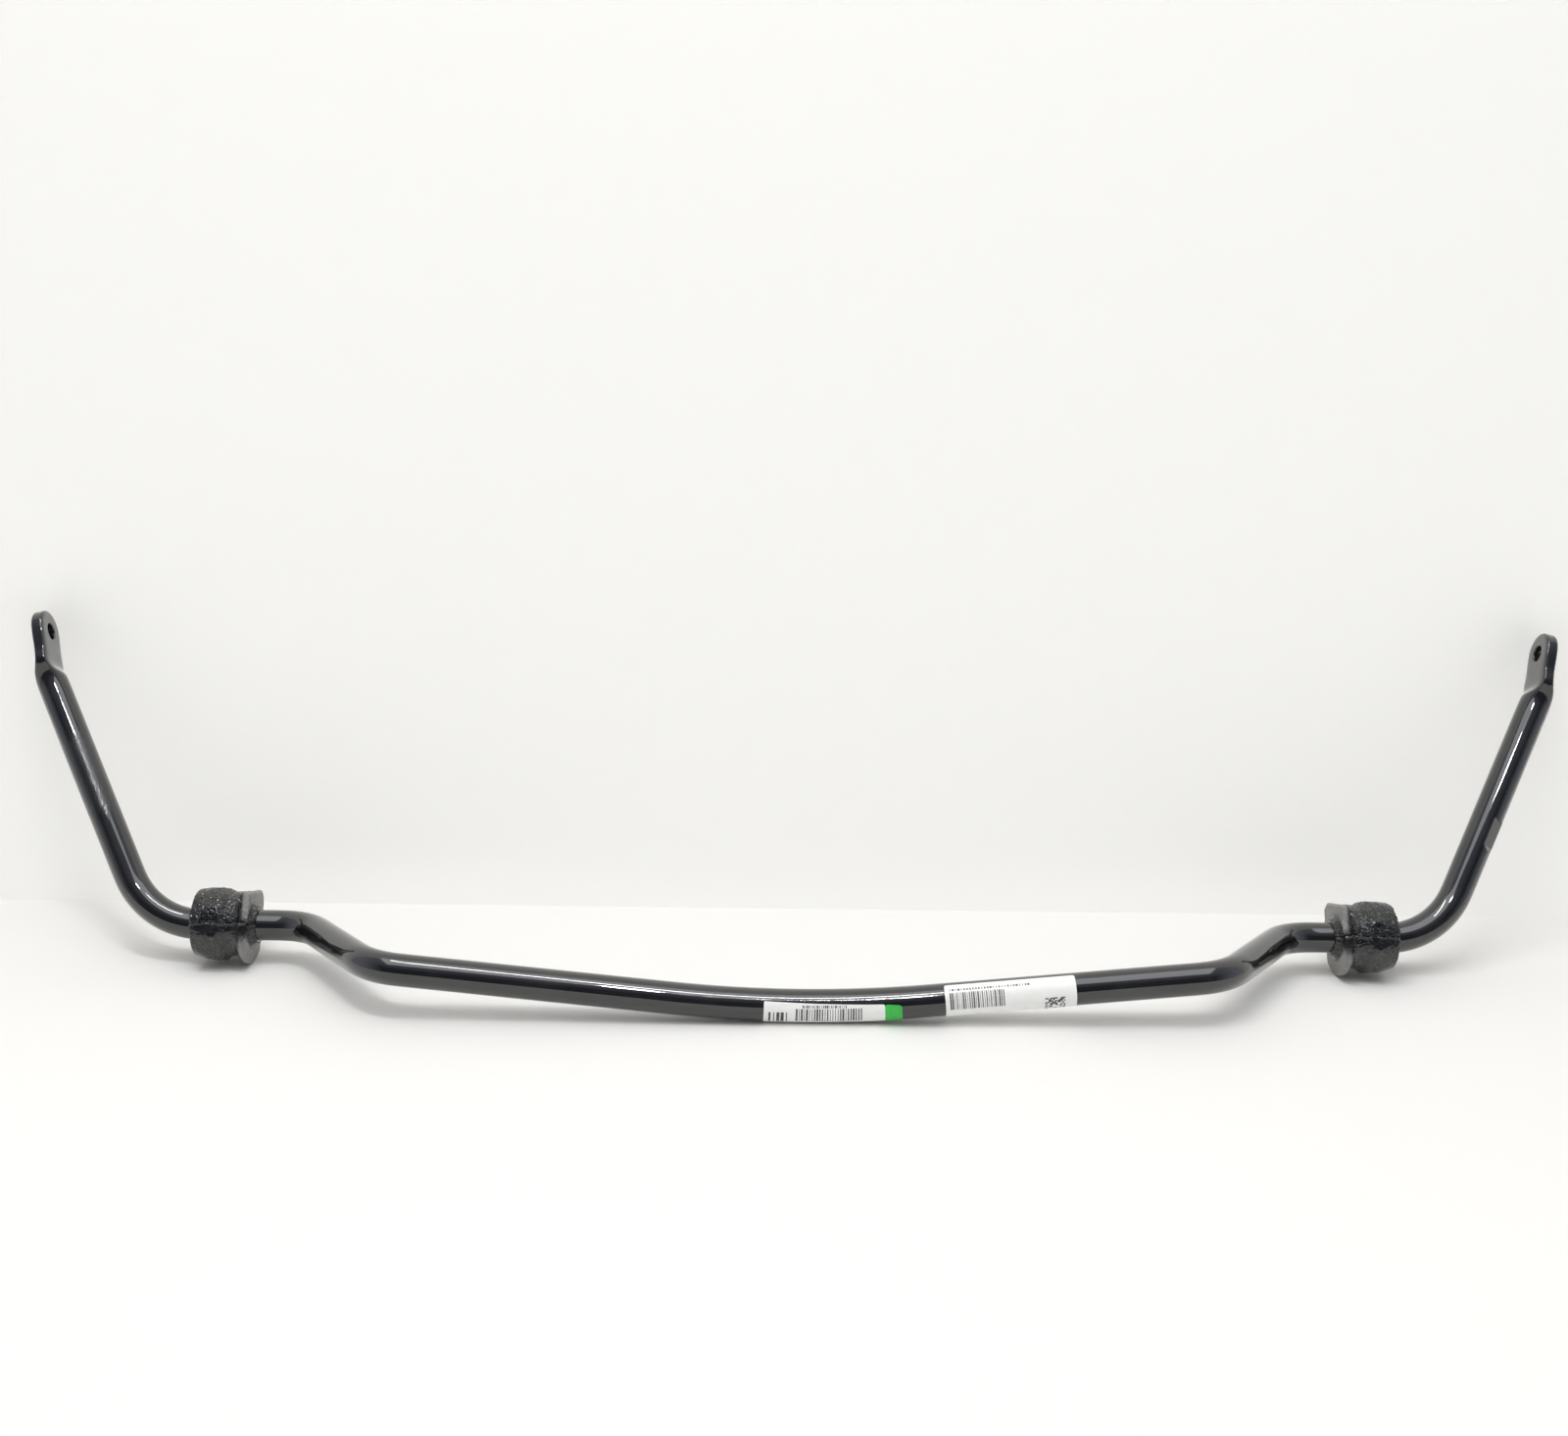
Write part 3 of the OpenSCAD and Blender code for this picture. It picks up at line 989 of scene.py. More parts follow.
@dataclass
class ForgedBar:
    """The bar with its two eyes."""

    line: BarLine
    eye: ForgedEye = field(default_factory=ForgedEye)
    flat: ArmFlat = field(default_factory=ArmFlat)
    ring_step: float = 7.5 * MM
    fine_step: float = 1.6 * MM
    levels: int = 2
    spray_from: float = 105 * MM
    spray_to: float = 160 * MM
    fine_margin: float = 4 * MM

    def stops(self) -> list[float]:
        """Distances of the cage's rings along the line, closer together at the flat."""
        reach = self.line.reach
        arm = self.line.stretches()[-1]
        base = reach - arm.length - (arm.start - self.line.arm_foot).length
        low = base + self.flat.start - self.fine_margin
        high = base + self.flat.start + self.flat.length + self.fine_margin
        wide, fine = self.ring_step, self.fine_step
        made = []
        for start, end, step in ((-reach, low, wide), (low, high, fine), (high, reach, wide)):
            count = max(2, round((end - start) / step))
            made += np.linspace(start, end, count, endpoint=False).tolist()
        return made + [reach]

    def sweep(self) -> bpy.types.Mesh:
        """Sweeps the round cage along the centre line."""
        stops = self.stops()
        mesh = bpy.data.meshes.new("centre_line")
        edges = [(i, i + 1) for i in range(len(stops) - 1)]
        mesh.from_pydata([self.line.at(s)[0] for s in stops], edges, [])
        front = mesh.attributes.new("front", "FLOAT_VECTOR", "POINT")
        for item, stop in zip(front.data, stops):
            item.vector = self.line.front_at(stop)
        values = {
            "Sides": CAGE_SIDES,
            "Radius": self.line.bar_r / CAGE_SHRINK,
            "Finish": GLOSS_BLACK.material(),
        }
        return SweepTree().run(link_mesh("centre_line", mesh), values)

    def end_ring(self, work: bmesh.types.BMesh, side: Side) -> list[bmesh.types.BMVert]:
        """The sweep's open ring on one side, ordered from the front round by the outboard face."""
        centre, travel = self.line.at(side.value * self.line.reach)
        front = self.line.eye_front
        out = Vector((side.value, 0, 0))
        out = (out - out.dot(travel) * travel).normalized()
        loose = {v for e in work.edges if e.is_boundary for v in e.verts if v.co.x * side.value > 0}
        turn = {v: math.atan2((v.co - centre).dot(out), (v.co - centre).dot(front)) for v in loose}
        step = math.tau / CAGE_SIDES
        return sorted(loose, key=lambda v: round(turn[v] / step) % CAGE_SIDES)

    def build(self) -> bpy.types.Object:
        """Makes the whole bar as one closed mesh."""
        cage = self.sweep()
        work = bmesh.new()
        work.from_mesh(cage)
        bmesh.ops.remove_doubles(work, verts=work.verts, dist=0.01 * MM)
        rings = {side: self.end_ring(work, side) for side in Side}
        for side, ring in rings.items():
            self.eye.grow(work, self.line, side, ring)
        bmesh.ops.recalc_face_normals(work, faces=work.faces)
        for face in work.faces:
            face.smooth = True
        for edge in work.edges:
            edge.smooth = True
        work.to_mesh(cage)
        work.free()
        rough = link_mesh("bar_cage", cage)
        smooth = rough.modifiers.new("smooth", "SUBSURF")
        smooth.levels = smooth.render_levels = self.levels
        mesh = baked(rough)
        places = np.zeros(len(mesh.vertices) * 3)
        mesh.vertices.foreach_get("co", places)
        places = self.flat.press(places.reshape(-1, 3), self.line)
        mesh.vertices.foreach_set("co", places.ravel())
        self.mark_spray(mesh, places)
        close_and_point_out(mesh, 0.001 * MM, math.radians(38))
        mesh.materials.clear()
        mesh.materials.append(GLOSS_BLACK.material())
        return link_mesh("forged_bar", mesh)

    def mark_spray(self, mesh: bpy.types.Mesh, places: np.ndarray) -> None:
        """Marks the rough patch of paint low on the front of the left arm."""
        mirror = np.array((-1, 1, 1))
        travel = np.array(self.line.arm_travel) * mirror
        offset = places - np.array(self.line.arm_foot) * mirror
        along = offset @ travel
        facing = offset @ np.array(self.line.eye_front) / self.line.bar_r
        share = smoothstep(self.spray_from - 20 * MM, self.spray_from, along)
        share = share * smoothstep(self.spray_to + 15 * MM, self.spray_to, along)
        share = share * smoothstep(0.1, 0.5, facing) * (places[:, 0] < 0)
        marks = mesh.attributes.new("sprayed", "FLOAT", "POINT")
        marks.data.foreach_set("value", share.astype(np.float32))


# ---------------------------------------------------------------------------------------------
# The bushes


def round_corners(points: Sequence[tuple[float, float, float]], step: float) -> np.ndarray:
    """Rounds a polyline's corners and cuts it into even steps.

    Args:
        points: Axial place, radius and corner radius of each corner.
        step: Greatest length of a step.

    Returns:
        The points of the rounded line, one per row.
    """
    corners = [np.array(p[:2]) for p in points]
    line = [corners[0]]
    for before, here, after, (_, _, radius) in zip(corners, corners[1:], corners[2:], points[1:]):
        back, on = before - here, after - here
        back_l, on_l = np.linalg.norm(back), np.linalg.norm(on)
        cut = min(radius, 0.45 * back_l, 0.45 * on_l)
        first, last = here + back / back_l * cut, here + on / on_l * cut
        for t in np.linspace(0, 1, 7):
            line.append((1 - t) ** 2 * first + 2 * t * (1 - t) * here + t * t * last)
    line.append(corners[-1])
    line = np.array(line)
    run = np.concatenate([[0], np.cumsum(np.linalg.norm(np.diff(line, axis=0), axis=1))])
    stops = np.linspace(0, run[-1], round(run[-1] / step) + 1)
    return np.column_stack([np.interp(stops, run, line[:, k]) for k in (0, 1)])


@dataclass(frozen=True)
class Relief:
    """Heights of the lumps that the thick coat of paint leaves on a bush half."""

    fine: float
    medium: float
    coarse: float
    wrinkle: float
    seed: float
    sizes_mm: tuple[float, float, float] = (1.35, 2.6, 6.5)


@dataclass
class BushHalf:
    """One half of a split rubber bush: a flange, a groove and an eight-sided lobe."""

    side: Side
    half: Half
    centre: Vector
    relief: Relief
    seam_tilt: float = math.radians(26)
    bore_r: float = 12.56 * MM
    lobe_apothem: float = 29 * MM
    step: float = 0.5 * MM
    blend: float = 0.35 * MM
    flange_half: float = 24.5 * MM
    flange_front: float = 19.5 * MM
    flange_lean: float = math.radians(8)
    flange_top: float = 27 * MM
    flange_r: float = 31.4 * MM
    flange_blend: float = 2.5 * MM
    root_r: float = 17.6 * MM
    lobe_from: float = -8 * MM
    flange_ramp: tuple[float, float] = (-12.0 * MM, -16.5 * MM)
    tail_cut_mm: float = 3.6
    floor_cut_mm: float = 1.3
    flange_reach: float = 35.5 * MM
    flare_from: float = 18 * MM
    lower_set_in: float = 0.3 * MM
    seam_depth: float = 0.55 * MM
    seam_width: float = 0.7 * MM
    ridge_height: float = 0.5 * MM
    ridge_place: float = 1.6 * MM
    ridge_width: float = 0.8 * MM
    bore_bareness: float = 0.3
    profile: tuple[tuple[float, float, float], ...] = (
        (-26.5, 12.56, 0), (-26.5, 14.3, 0.8), (-23.5, 15.6, 1.5), (-21.5, 17.6, 1.5),
        (-21.5, 29.8, 0.7), (-20.0, 31.4, 0.8), (-16.6, 31.4, 1.0), (-12.4, 26.8, 1.4),
        (-6.0, 26.8, 1.6), (1.5, 31.4, 1.0), (5.0, 31.2, 1.0), (21.5, 28.4, 0.8),
        (21.5, 17.6, 1.5), (23.5, 15.6, 1.5), (26.5, 14.3, 0.8), (26.5, 13.0, 0),
    )

    @property
    def name(self) -> str:
        """The CAD node that this half stands for."""
        return f"{self.side.word}_bush_{self.half.word}"

    @property
    def seam_front(self) -> Vector:
        """Direction of the front seam from the axis."""
        return Vector((0, -math.cos(self.seam_tilt), math.sin(self.seam_tilt)))

    @property
    def seam_up(self) -> Vector:
        """Direction square to the seam, towards the upper half."""
        return Vector((0, math.sin(self.seam_tilt), math.cos(self.seam_tilt)))

    def radii(self, axial: np.ndarray, radius: np.ndarray, angle: np.ndarray) -> np.ndarray:
        """Radius of the bare moulding at each point.

        Args:
            axial: Place along the axis, outboard, in metres.
            radius: Radius of the round profile there.
            angle: Angle from the front seam.

        Returns:
            The radius once the lobe's eight facets are cut.
        """
        eighth = math.tau / 8
        off = (angle + eighth / 2) % eighth - eighth / 2
        cut = soft_min(self.lobe_apothem / np.cos(off), radius, self.blend)
        shaped = np.where(axial > self.lobe_from, cut, radius)
        ahead = self.flange_front if self.half is Half.UPPER else self.flange_half
        reach = np.where(np.cos(angle) > 0, ahead, self.flange_half)
        square = reach / np.maximum(np.abs(np.cos(angle)), 0.1)
        top = self.flange_top / np.maximum(np.abs(np.sin(angle + self.flange_lean)), 0.1)
        height = top if self.half is Half.UPPER else self.flange_r
        outline = soft_min(square, height, self.flange_blend)
        outline = np.minimum(outline, self.flange_reach)
        share = (radius - self.root_r) / (self.flange_r - self.root_r)
        flange = smoothstep(*self.flange_ramp, axial) * (radius > self.root_r)
        shaped = shaped + flange * (self.root_r + share * (outline - self.root_r) - radius)
        if self.half is Half.LOWER:
            low = np.clip(-np.sin(angle + self.seam_tilt), 0, 1) ** 2
            tail = smoothstep(6 * MM, 21.5 * MM, axial) * (radius > 20 * MM)
            floor = smoothstep(-14 * MM, -10 * MM, axial) * smoothstep(-1 * MM, -6 * MM, axial)
            shaped = shaped - (self.tail_cut_mm * tail + self.floor_cut_mm * floor) * MM * low
        return shaped

    def lumps(self, spots: np.ndarray, elevation: np.ndarray, axial: np.ndarray) -> np.ndarray:
        """Height of the paint's lumps at each point.

        Args:
            spots: Points about the bush's own centre, in metres.
            elevation: Angle of each point up from the front, in degrees.
            axial: Place along the axis.

        Returns:
            The heights, in metres.
        """
        made = np.zeros(len(spots))
        shift = Vector((self.relief.seed, 0.7 * self.relief.seed, 0))
        front = smoothstep(-150, -20, elevation) * smoothstep(150, 70, elevation)
        thick = 0.35 + 0.65 * front
        small, middling, large = self.relief.sizes_mm
        for index, spot in enumerate(spots):
            place = Vector(spot) / MM + shift
            pebble = abs(noise.noise(place / small)) * self.relief.fine
            grain = noise.noise(place / middling) * self.relief.medium
            swell = noise.noise(place / large) * self.relief.coarse
            made[index] = (pebble + grain) * thick[index] + swell
        ripple = np.sin(axial / MM * 4.4 + 1.5 * np.sin(elevation / 11))
        return made + ripple * self.relief.wrinkle * smoothstep(-10 * MM, -16 * MM, axial)

    def bareness_and_sheen(self, elevation: np.ndarray, axial: np.ndarray, radius: np.ndarray) -> np.ndarray:
        """Share of the pale colour: bare rubber on most of the flange, a painted reflection of the
        bright ceiling on the upper half's top facets, and a little more on the lower half's faces below
        the seam.
        """
        flange = smoothstep(-15.5 * MM, -19 * MM, axial) * smoothstep(17.5 * MM, 21 * MM, radius)
        if self.half is Half.UPPER:
            # The top facets are made paler: a painted reflection of the bright ceiling and wall, not
            # bare rubber.
            top = smoothstep(62, 88, elevation)
            return np.clip(0.9 * flange * smoothstep(26, 42, elevation) + 0.14 * top, 0, 1)
        low = smoothstep(14, -6, elevation)
        return np.clip(0.8 * flange * smoothstep(8, -20, elevation) + 0.07 * low + 0.02, 0, 1)

    def build(self) -> bpy.types.Object:
        """Makes the half as one closed mesh."""
        profile = round_corners(self.profile, self.step / MM) * MM
        rows = len(profile)
        columns = round(math.pi * self.lobe_apothem / self.step)
        turn = np.linspace(0, math.pi, columns) * self.half.value
        axial = np.repeat(profile[:, 0], columns)
        radius = np.repeat(profile[:, 1], columns)
        angle = np.tile(turn, rows)
        elevation = np.degrees(angle + self.seam_tilt)
        elevation = (elevation + 180) % 360 - 180
        bare_r = self.radii(axial, radius, angle)
        spokes = np.outer(np.cos(angle), self.seam_front) + np.outer(np.sin(angle), self.seam_up)
        spots = np.outer(axial, (self.side.value, 0, 0)) + spokes * bare_r[:, None]
        slope = np.gradient(profile, axis=0)
        slope /= np.linalg.norm(slope, axis=1)[:, None]
        normal_a, normal_r = np.repeat(-slope[:, 1], columns), np.repeat(slope[:, 0], columns)
        height = self.lumps(spots, elevation, axial)
        if self.half is Half.LOWER:
            height -= self.lower_set_in
        seam = np.minimum(np.abs(angle), math.pi - np.abs(angle)) * bare_r
        height -= self.seam_depth * np.exp(-((seam / self.seam_width) ** 2))
        if self.half is Half.LOWER:
            ridge = (seam - self.ridge_place) / self.ridge_width
            height += self.ridge_height * np.exp(-(ridge**2))
        from_end = np.repeat(np.minimum(np.arange(rows), np.arange(rows)[::-1]), columns)
        height *= np.clip(from_end / 4, 0, 1)
        spots += spokes * (height * normal_r)[:, None]
        spots += np.outer(height * normal_a, (self.side.value, 0, 0))
        bore = self.bore_spots(profile, turn)
        spots = np.concatenate([spots, bore]) + np.array(self.centre)
        mesh = bpy.data.meshes.new(self.name)
        mesh.from_pydata(spots.tolist(), [], self.faces(rows, columns, len(bore) // columns))
        # The pale share includes a painted reflection on the upper half's top facets.
        outside, inside = self.bareness_and_sheen(elevation, axial, bare_r), np.full(len(bore), self.bore_bareness)
        bare_and_sheen = np.concatenate([outside, inside])
        marks = mesh.attributes.new("bare_and_sheen", "FLOAT", "POINT")
        marks.data.foreach_set("value", bare_and_sheen.astype(np.float32))
        close_and_point_out(mesh, 0.002 * MM, math.radians(60))
        mesh.materials.append(RUBBER.material())
        return link_mesh(f"{self.name}_rubber", mesh)

    def bore_spots(self, profile: np.ndarray, turn: np.ndarray) -> np.ndarray:
        """Inner rows of the bore, which flares at the outboard end."""
        rows = [(profile[0, 0] + 2 * MM, self.bore_r), (self.flare_from, self.bore_r)]
        made = []
        for axial, radius in rows:
            for angle in turn:
                spoke = math.cos(angle) * self.seam_front + math.sin(angle) * self.seam_up
                made.append(Vector((self.side.value * axial, 0, 0)) + radius * spoke)
        return np.array(made)

    @staticmethod
    def faces(rows: int, columns: int, bore_rows: int) -> list[tuple[int, ...]]:
        """Faces of the outer surface, the bore and the two seam faces."""
        made = grid_faces(rows + bore_rows, columns)
        outer_end, total = (rows - 1) * columns, (rows + bore_rows) * columns
        made = [f for f in made if not outer_end <= f[0] < outer_end + columns]
        bore_first, bore_last = rows * columns, total - columns
        for j in range(columns - 1):
            made.append((outer_end + j, outer_end + j + 1, bore_last + j + 1, bore_last + j))
            made.append((j, bore_first + j, bore_first + j + 1, j + 1))
        for j in (0, columns - 1):
            outer = [i * columns + j for i in range(rows)]
            inner = [i * columns + j for i in range(rows + bore_rows - 1, rows - 1, -1)]
            made.append(tuple(outer + inner))
        return made


@dataclass
class Bush:
    """A split bush on one journal, and the drops of paint where it meets the bar."""

    side: Side
    axial_x: float = 465 * MM
    upper: Relief = Relief(1.1 * MM, 0.40 * MM, 0.30 * MM, 0.0, 11.0)
    lower: Relief = Relief(0.0, 0.06 * MM, 0.18 * MM, 0.05 * MM, 37.0)
    lips: tuple[float, float] = (-25.2 * MM, 25.4 * MM)
    drops: int = 30
    drop_ring_r: float = 14.1 * MM

    @property
    def body(self) -> str:
        """The CAD body that the bush belongs to."""
        return f"{self.side.word}_bush"

    def centre(self, line: BarLine) -> Vector:
        """Middle of the bush on its journal."""
        return Vector((self.side.value * self.axial_x, line.arm_foot.y, line.journal_rise))

    def build(self, line: BarLine, beads: BeadTree) -> None:
        """Builds both halves and the drops, and hands them over to the frame."""
        centre = self.centre(line)
        for half, relief in ((Half.UPPER, self.upper), (Half.LOWER, self.lower)):
            seed = relief.seed + 5.0 * self.side.value
            part = BushHalf(self.side, half, centre, replace(relief, seed=seed))
            hand_over(part.build(), self.body, "bush_rubber", part.name)
        for index, axial in enumerate(self.lips):
            self.add_beads(beads, centre, axial, 3 * index + 2 + self.side.value)

    def add_beads(self, beads: BeadTree, centre: Vector, axial: float, seed: int) -> None:
        """Strews drops of paint round one lip of the bush."""
        mesh = bpy.data.meshes.new("bead_seat")
        mesh.from_pydata([(0, 0, 0)], [], [])
        values = {
            "Count": self.drops,
            "Radius": self.drop_ring_r,
            "Smallest": (0.5 * MM, 0.5 * MM, 0.5 * MM),
            "Largest": (1.2 * MM, 1.2 * MM, 1.1 * MM),
            "Stray": (0.5 * MM, 0.5 * MM, 1.0 * MM),
            "Seed": seed,
            "Finish": PAINT_BEAD.material(),
        }
        ring = beads.run(link_mesh("bead_seat", mesh), values)
        place = Matrix.Translation(centre + Vector((self.side.value * axial, 0, 0)))
        ring.transform(place @ Matrix.Rotation(math.pi / 2, 4, "Y"))
        end = "inner" if axial < 0 else "outer"
        piece = link_mesh(f"{self.side.word}_bush_{end}_paint_drops", ring)
        hand_over(piece, self.body, "bar_coating")


# ---------------------------------------------------------------------------------------------
# The labels


@dataclass(frozen=True)
class Stripes:
    """A block of printed stripes: place from the label's start, angle of its foot, and size."""

    along: float
    angle: float
    length: float
    height: float
    count: int
    seed: int


@dataclass(frozen=True)
class Dots:
    """A printed block of dots: place of its middle from the label's start, angle and size."""

    along: float
    angle: float
    size: float
    count: int
    seed: int


@dataclass
class WrappedLabel:
    """A thin label wrapped on the middle of the bar."""

    name: str
    node: str
    slot: str
    finish: LabelStock
    start_x: float
    length: float
    low: tuple[float, float]
    high: tuple[float, float]
    thickness: float = 0.28 * MM
    lift: float = 0.03 * MM
    corner: float = 1.5 * MM
    flap: float = 0.0
    stripes: tuple[Stripes, ...] = ()
    dots: tuple[Dots, ...] = ()
    columns: int = 28

    def spot(self, line: BarLine, distance: float, angle: float, height: float) -> Vector:
        """A point of the label; below its low edge it runs straight on, off the bar."""
        low = math.radians(min(self.low))
        if angle >= low:
            return line.skin(distance, angle, height)
        ahead = line.skin(distance, low - math.pi / 2, 0) - line.at(distance)[0]
        return line.skin(distance, low, height) + ahead.normalized() * (low - angle) * line.bar_r

    def shell(self, line: BarLine) -> bpy.types.Object:
        """Makes the label as a closed thin shell with rounded corners."""
        first = line.distance_at(self.start_x)
        last = line.distance_at(self.start_x + self.length)
        ease = self.corner * (1 - np.cos(np.linspace(0, math.pi / 2, 7)))
        stops = list(first + ease) + list(np.linspace(first + self.corner, last - self.corner, 40)[1:-1])
        stops += list(last - ease[::-1])
        stops = [float(stop) for stop in stops]
        flap_angle = self.flap / line.bar_r
        layers: list[list[Vector]] = [[], []]
        for stop in stops:
            share = (stop - first) / (last - first)
            near = max(0.0, self.corner - min(stop - first, last - stop))
            inset = (self.corner - math.sqrt(max(0.0, self.corner**2 - near**2))) / line.bar_r
            low = math.radians(self.low[0] + share * (self.low[1] - self.low[0])) - flap_angle + inset
            high = math.radians(self.high[0] + share * (self.high[1] - self.high[0])) - inset
            for angle in np.linspace(low, high, self.columns).tolist():
                layers[0].append(self.spot(line, stop, angle, self.thickness))
                layers[1].append(self.spot(line, stop, angle, self.lift))
        rows = len(stops)
        count = rows * self.columns
        faces = grid_faces(rows, self.columns) + grid_faces(rows, self.columns, count)
        rim = list(range(self.columns))
        rim += [i * self.columns + self.columns - 1 for i in range(1, rows)]
        rim += [count - 1 - j for j in range(1, self.columns)]
        rim += [(rows - 1 - i) * self.columns for i in range(1, rows - 1)]
        for a, b in zip(rim, rim[1:] + rim[:1]):
            faces.append((a, b, b + count, a + count))
        mesh = bpy.data.meshes.new(self.name)
        mesh.from_pydata(layers[0] + layers[1], [], faces)
        close_and_point_out(mesh, 0.002 * MM, math.radians(50))
        mesh.materials.append(self.finish.material())
        return link_mesh(self.name, mesh)

    def seat(self, line: BarLine) -> Matrix:
        """Places print that is wrapped about the origin on to the bar at the label's start."""
        point, travel = line.at(line.distance_at(self.start_x))
        up = Vector((0, -1, 0)).cross(travel)
        turn = Matrix((travel, Vector((0, 1, 0)), up)).transposed().to_4x4()
        return Matrix.Translation(point) @ turn

    def print_on(self, line: BarLine, stripe_tree: StripeTree, dot_tree: DotTree, bend: float) -> None:
        """Prints the label's stripes and dots, and hands them over."""
        ink_r = line.bar_r + self.thickness + 0.015 * MM
        common = {"Radius": ink_r, "Bend": bend, "Finish": INK.material()}
        meshes = []
        for block in self.stripes:
            foot = math.radians(block.angle) * ink_r
            values = {
                "Count": block.count, "Pitch": block.length / block.count, "Height": block.height,
                "Corner": (block.along, foot, 0), "Seed": block.seed, **common,
            }
            meshes.append(stripe_tree.run(self.stub(), values))
        for block in self.dots:
            middle = (block.along, math.radians(block.angle) * ink_r, 0)
            values = {
                "Count": block.count, "Size": block.size, "Centre": middle, "Seed": block.seed, **common,
            }
            meshes.append(dot_tree.run(self.stub(), values))
        for index, mesh in enumerate(meshes):
            mesh.transform(self.seat(line))
            piece = link_mesh(f"{self.name}_print_{index + 1}", mesh)
            hand_over(piece, "bar", self.slot)

    @staticmethod
    def stub() -> bpy.types.Object:
        """An object with one vertex, for a tree that makes its own geometry."""
        mesh = bpy.data.meshes.new("stub")
        mesh.from_pydata([(0, 0, 0)], [], [])
        return link_mesh("stub", mesh)


def part_label() -> WrappedLabel:
    """The narrow label on the lower front of the middle arc."""
    return WrappedLabel(
        "narrow_label", "part_label", "label_paper", WHITE_STOCK, -28 * MM, 92 * MM,
        (-62, -62), (36, 22), corner=1.0 * MM,
        stripes=(
            Stripes(25 * MM, -42, 51 * MM, 12.0 * MM, 26, 4),
            Stripes(4.5 * MM, -46, 16 * MM, 10.0 * MM, 5, 9),
            Stripes(30 * MM, 14, 34 * MM, 2.2 * MM, 22, 12),
        ),
    )


def colour_tab() -> WrappedLabel:
    """The green tab at the end of the narrow label."""
    return WrappedLabel(
        "green_tab", "colour_tab", "tab_film", GREEN_FILM, 64 * MM, 13 * MM,
        (-66, -66), (22, 16), corner=2.2 * MM,
    )


def shipping_label() -> WrappedLabel:
    """The wide label on the straight leg, with a loose lower edge."""
    return WrappedLabel(
        "wide_label", "shipping_label", "label_paper", WHITE_STOCK, 110 * MM, 99 * MM,
        (-72, -72), (80, 80), corner=2.0 * MM, flap=3 * MM,
        stripes=(
            Stripes(4 * MM, -15, 42 * MM, 13.5 * MM, 26, 21),
            Stripes(4 * MM, 52, 62 * MM, 1.6 * MM, 28, 23),
        ),
        dots=(Dots(83 * MM, -32, 14 * MM, 13, 5),),
    )


# ---------------------------------------------------------------------------------------------
# The studio


@dataclass(frozen=True)
class SoftLight:
    """A rectangular light: where it hangs, the point it faces, its size in metres and its watts."""

    name: str
    place: tuple[float, float, float]
    aim: tuple[float, float, float]
    size: tuple[float, float]
    power: float
    colour: tuple[float, float, float] = (1, 1, 1)
    shines_only: bool = False

    def hang(self) -> None:
        """Adds the light to the scene; one that shines only is left out of diffuse light."""
        lamp = bpy.data.lights.new(self.name, "AREA")
        lamp.shape = "RECTANGLE"
        lamp.size, lamp.size_y = self.size
        lamp.energy = self.power
        lamp.color = self.colour
        hung = bpy.data.objects.new(self.name, lamp)
        hung.location = self.place
        hung.rotation_euler = (Vector(self.aim) - Vector(self.place)).to_track_quat("-Z", "Y").to_euler()
        hung.visible_diffuse = not self.shines_only
        bpy.context.scene.collection.objects.link(hung)


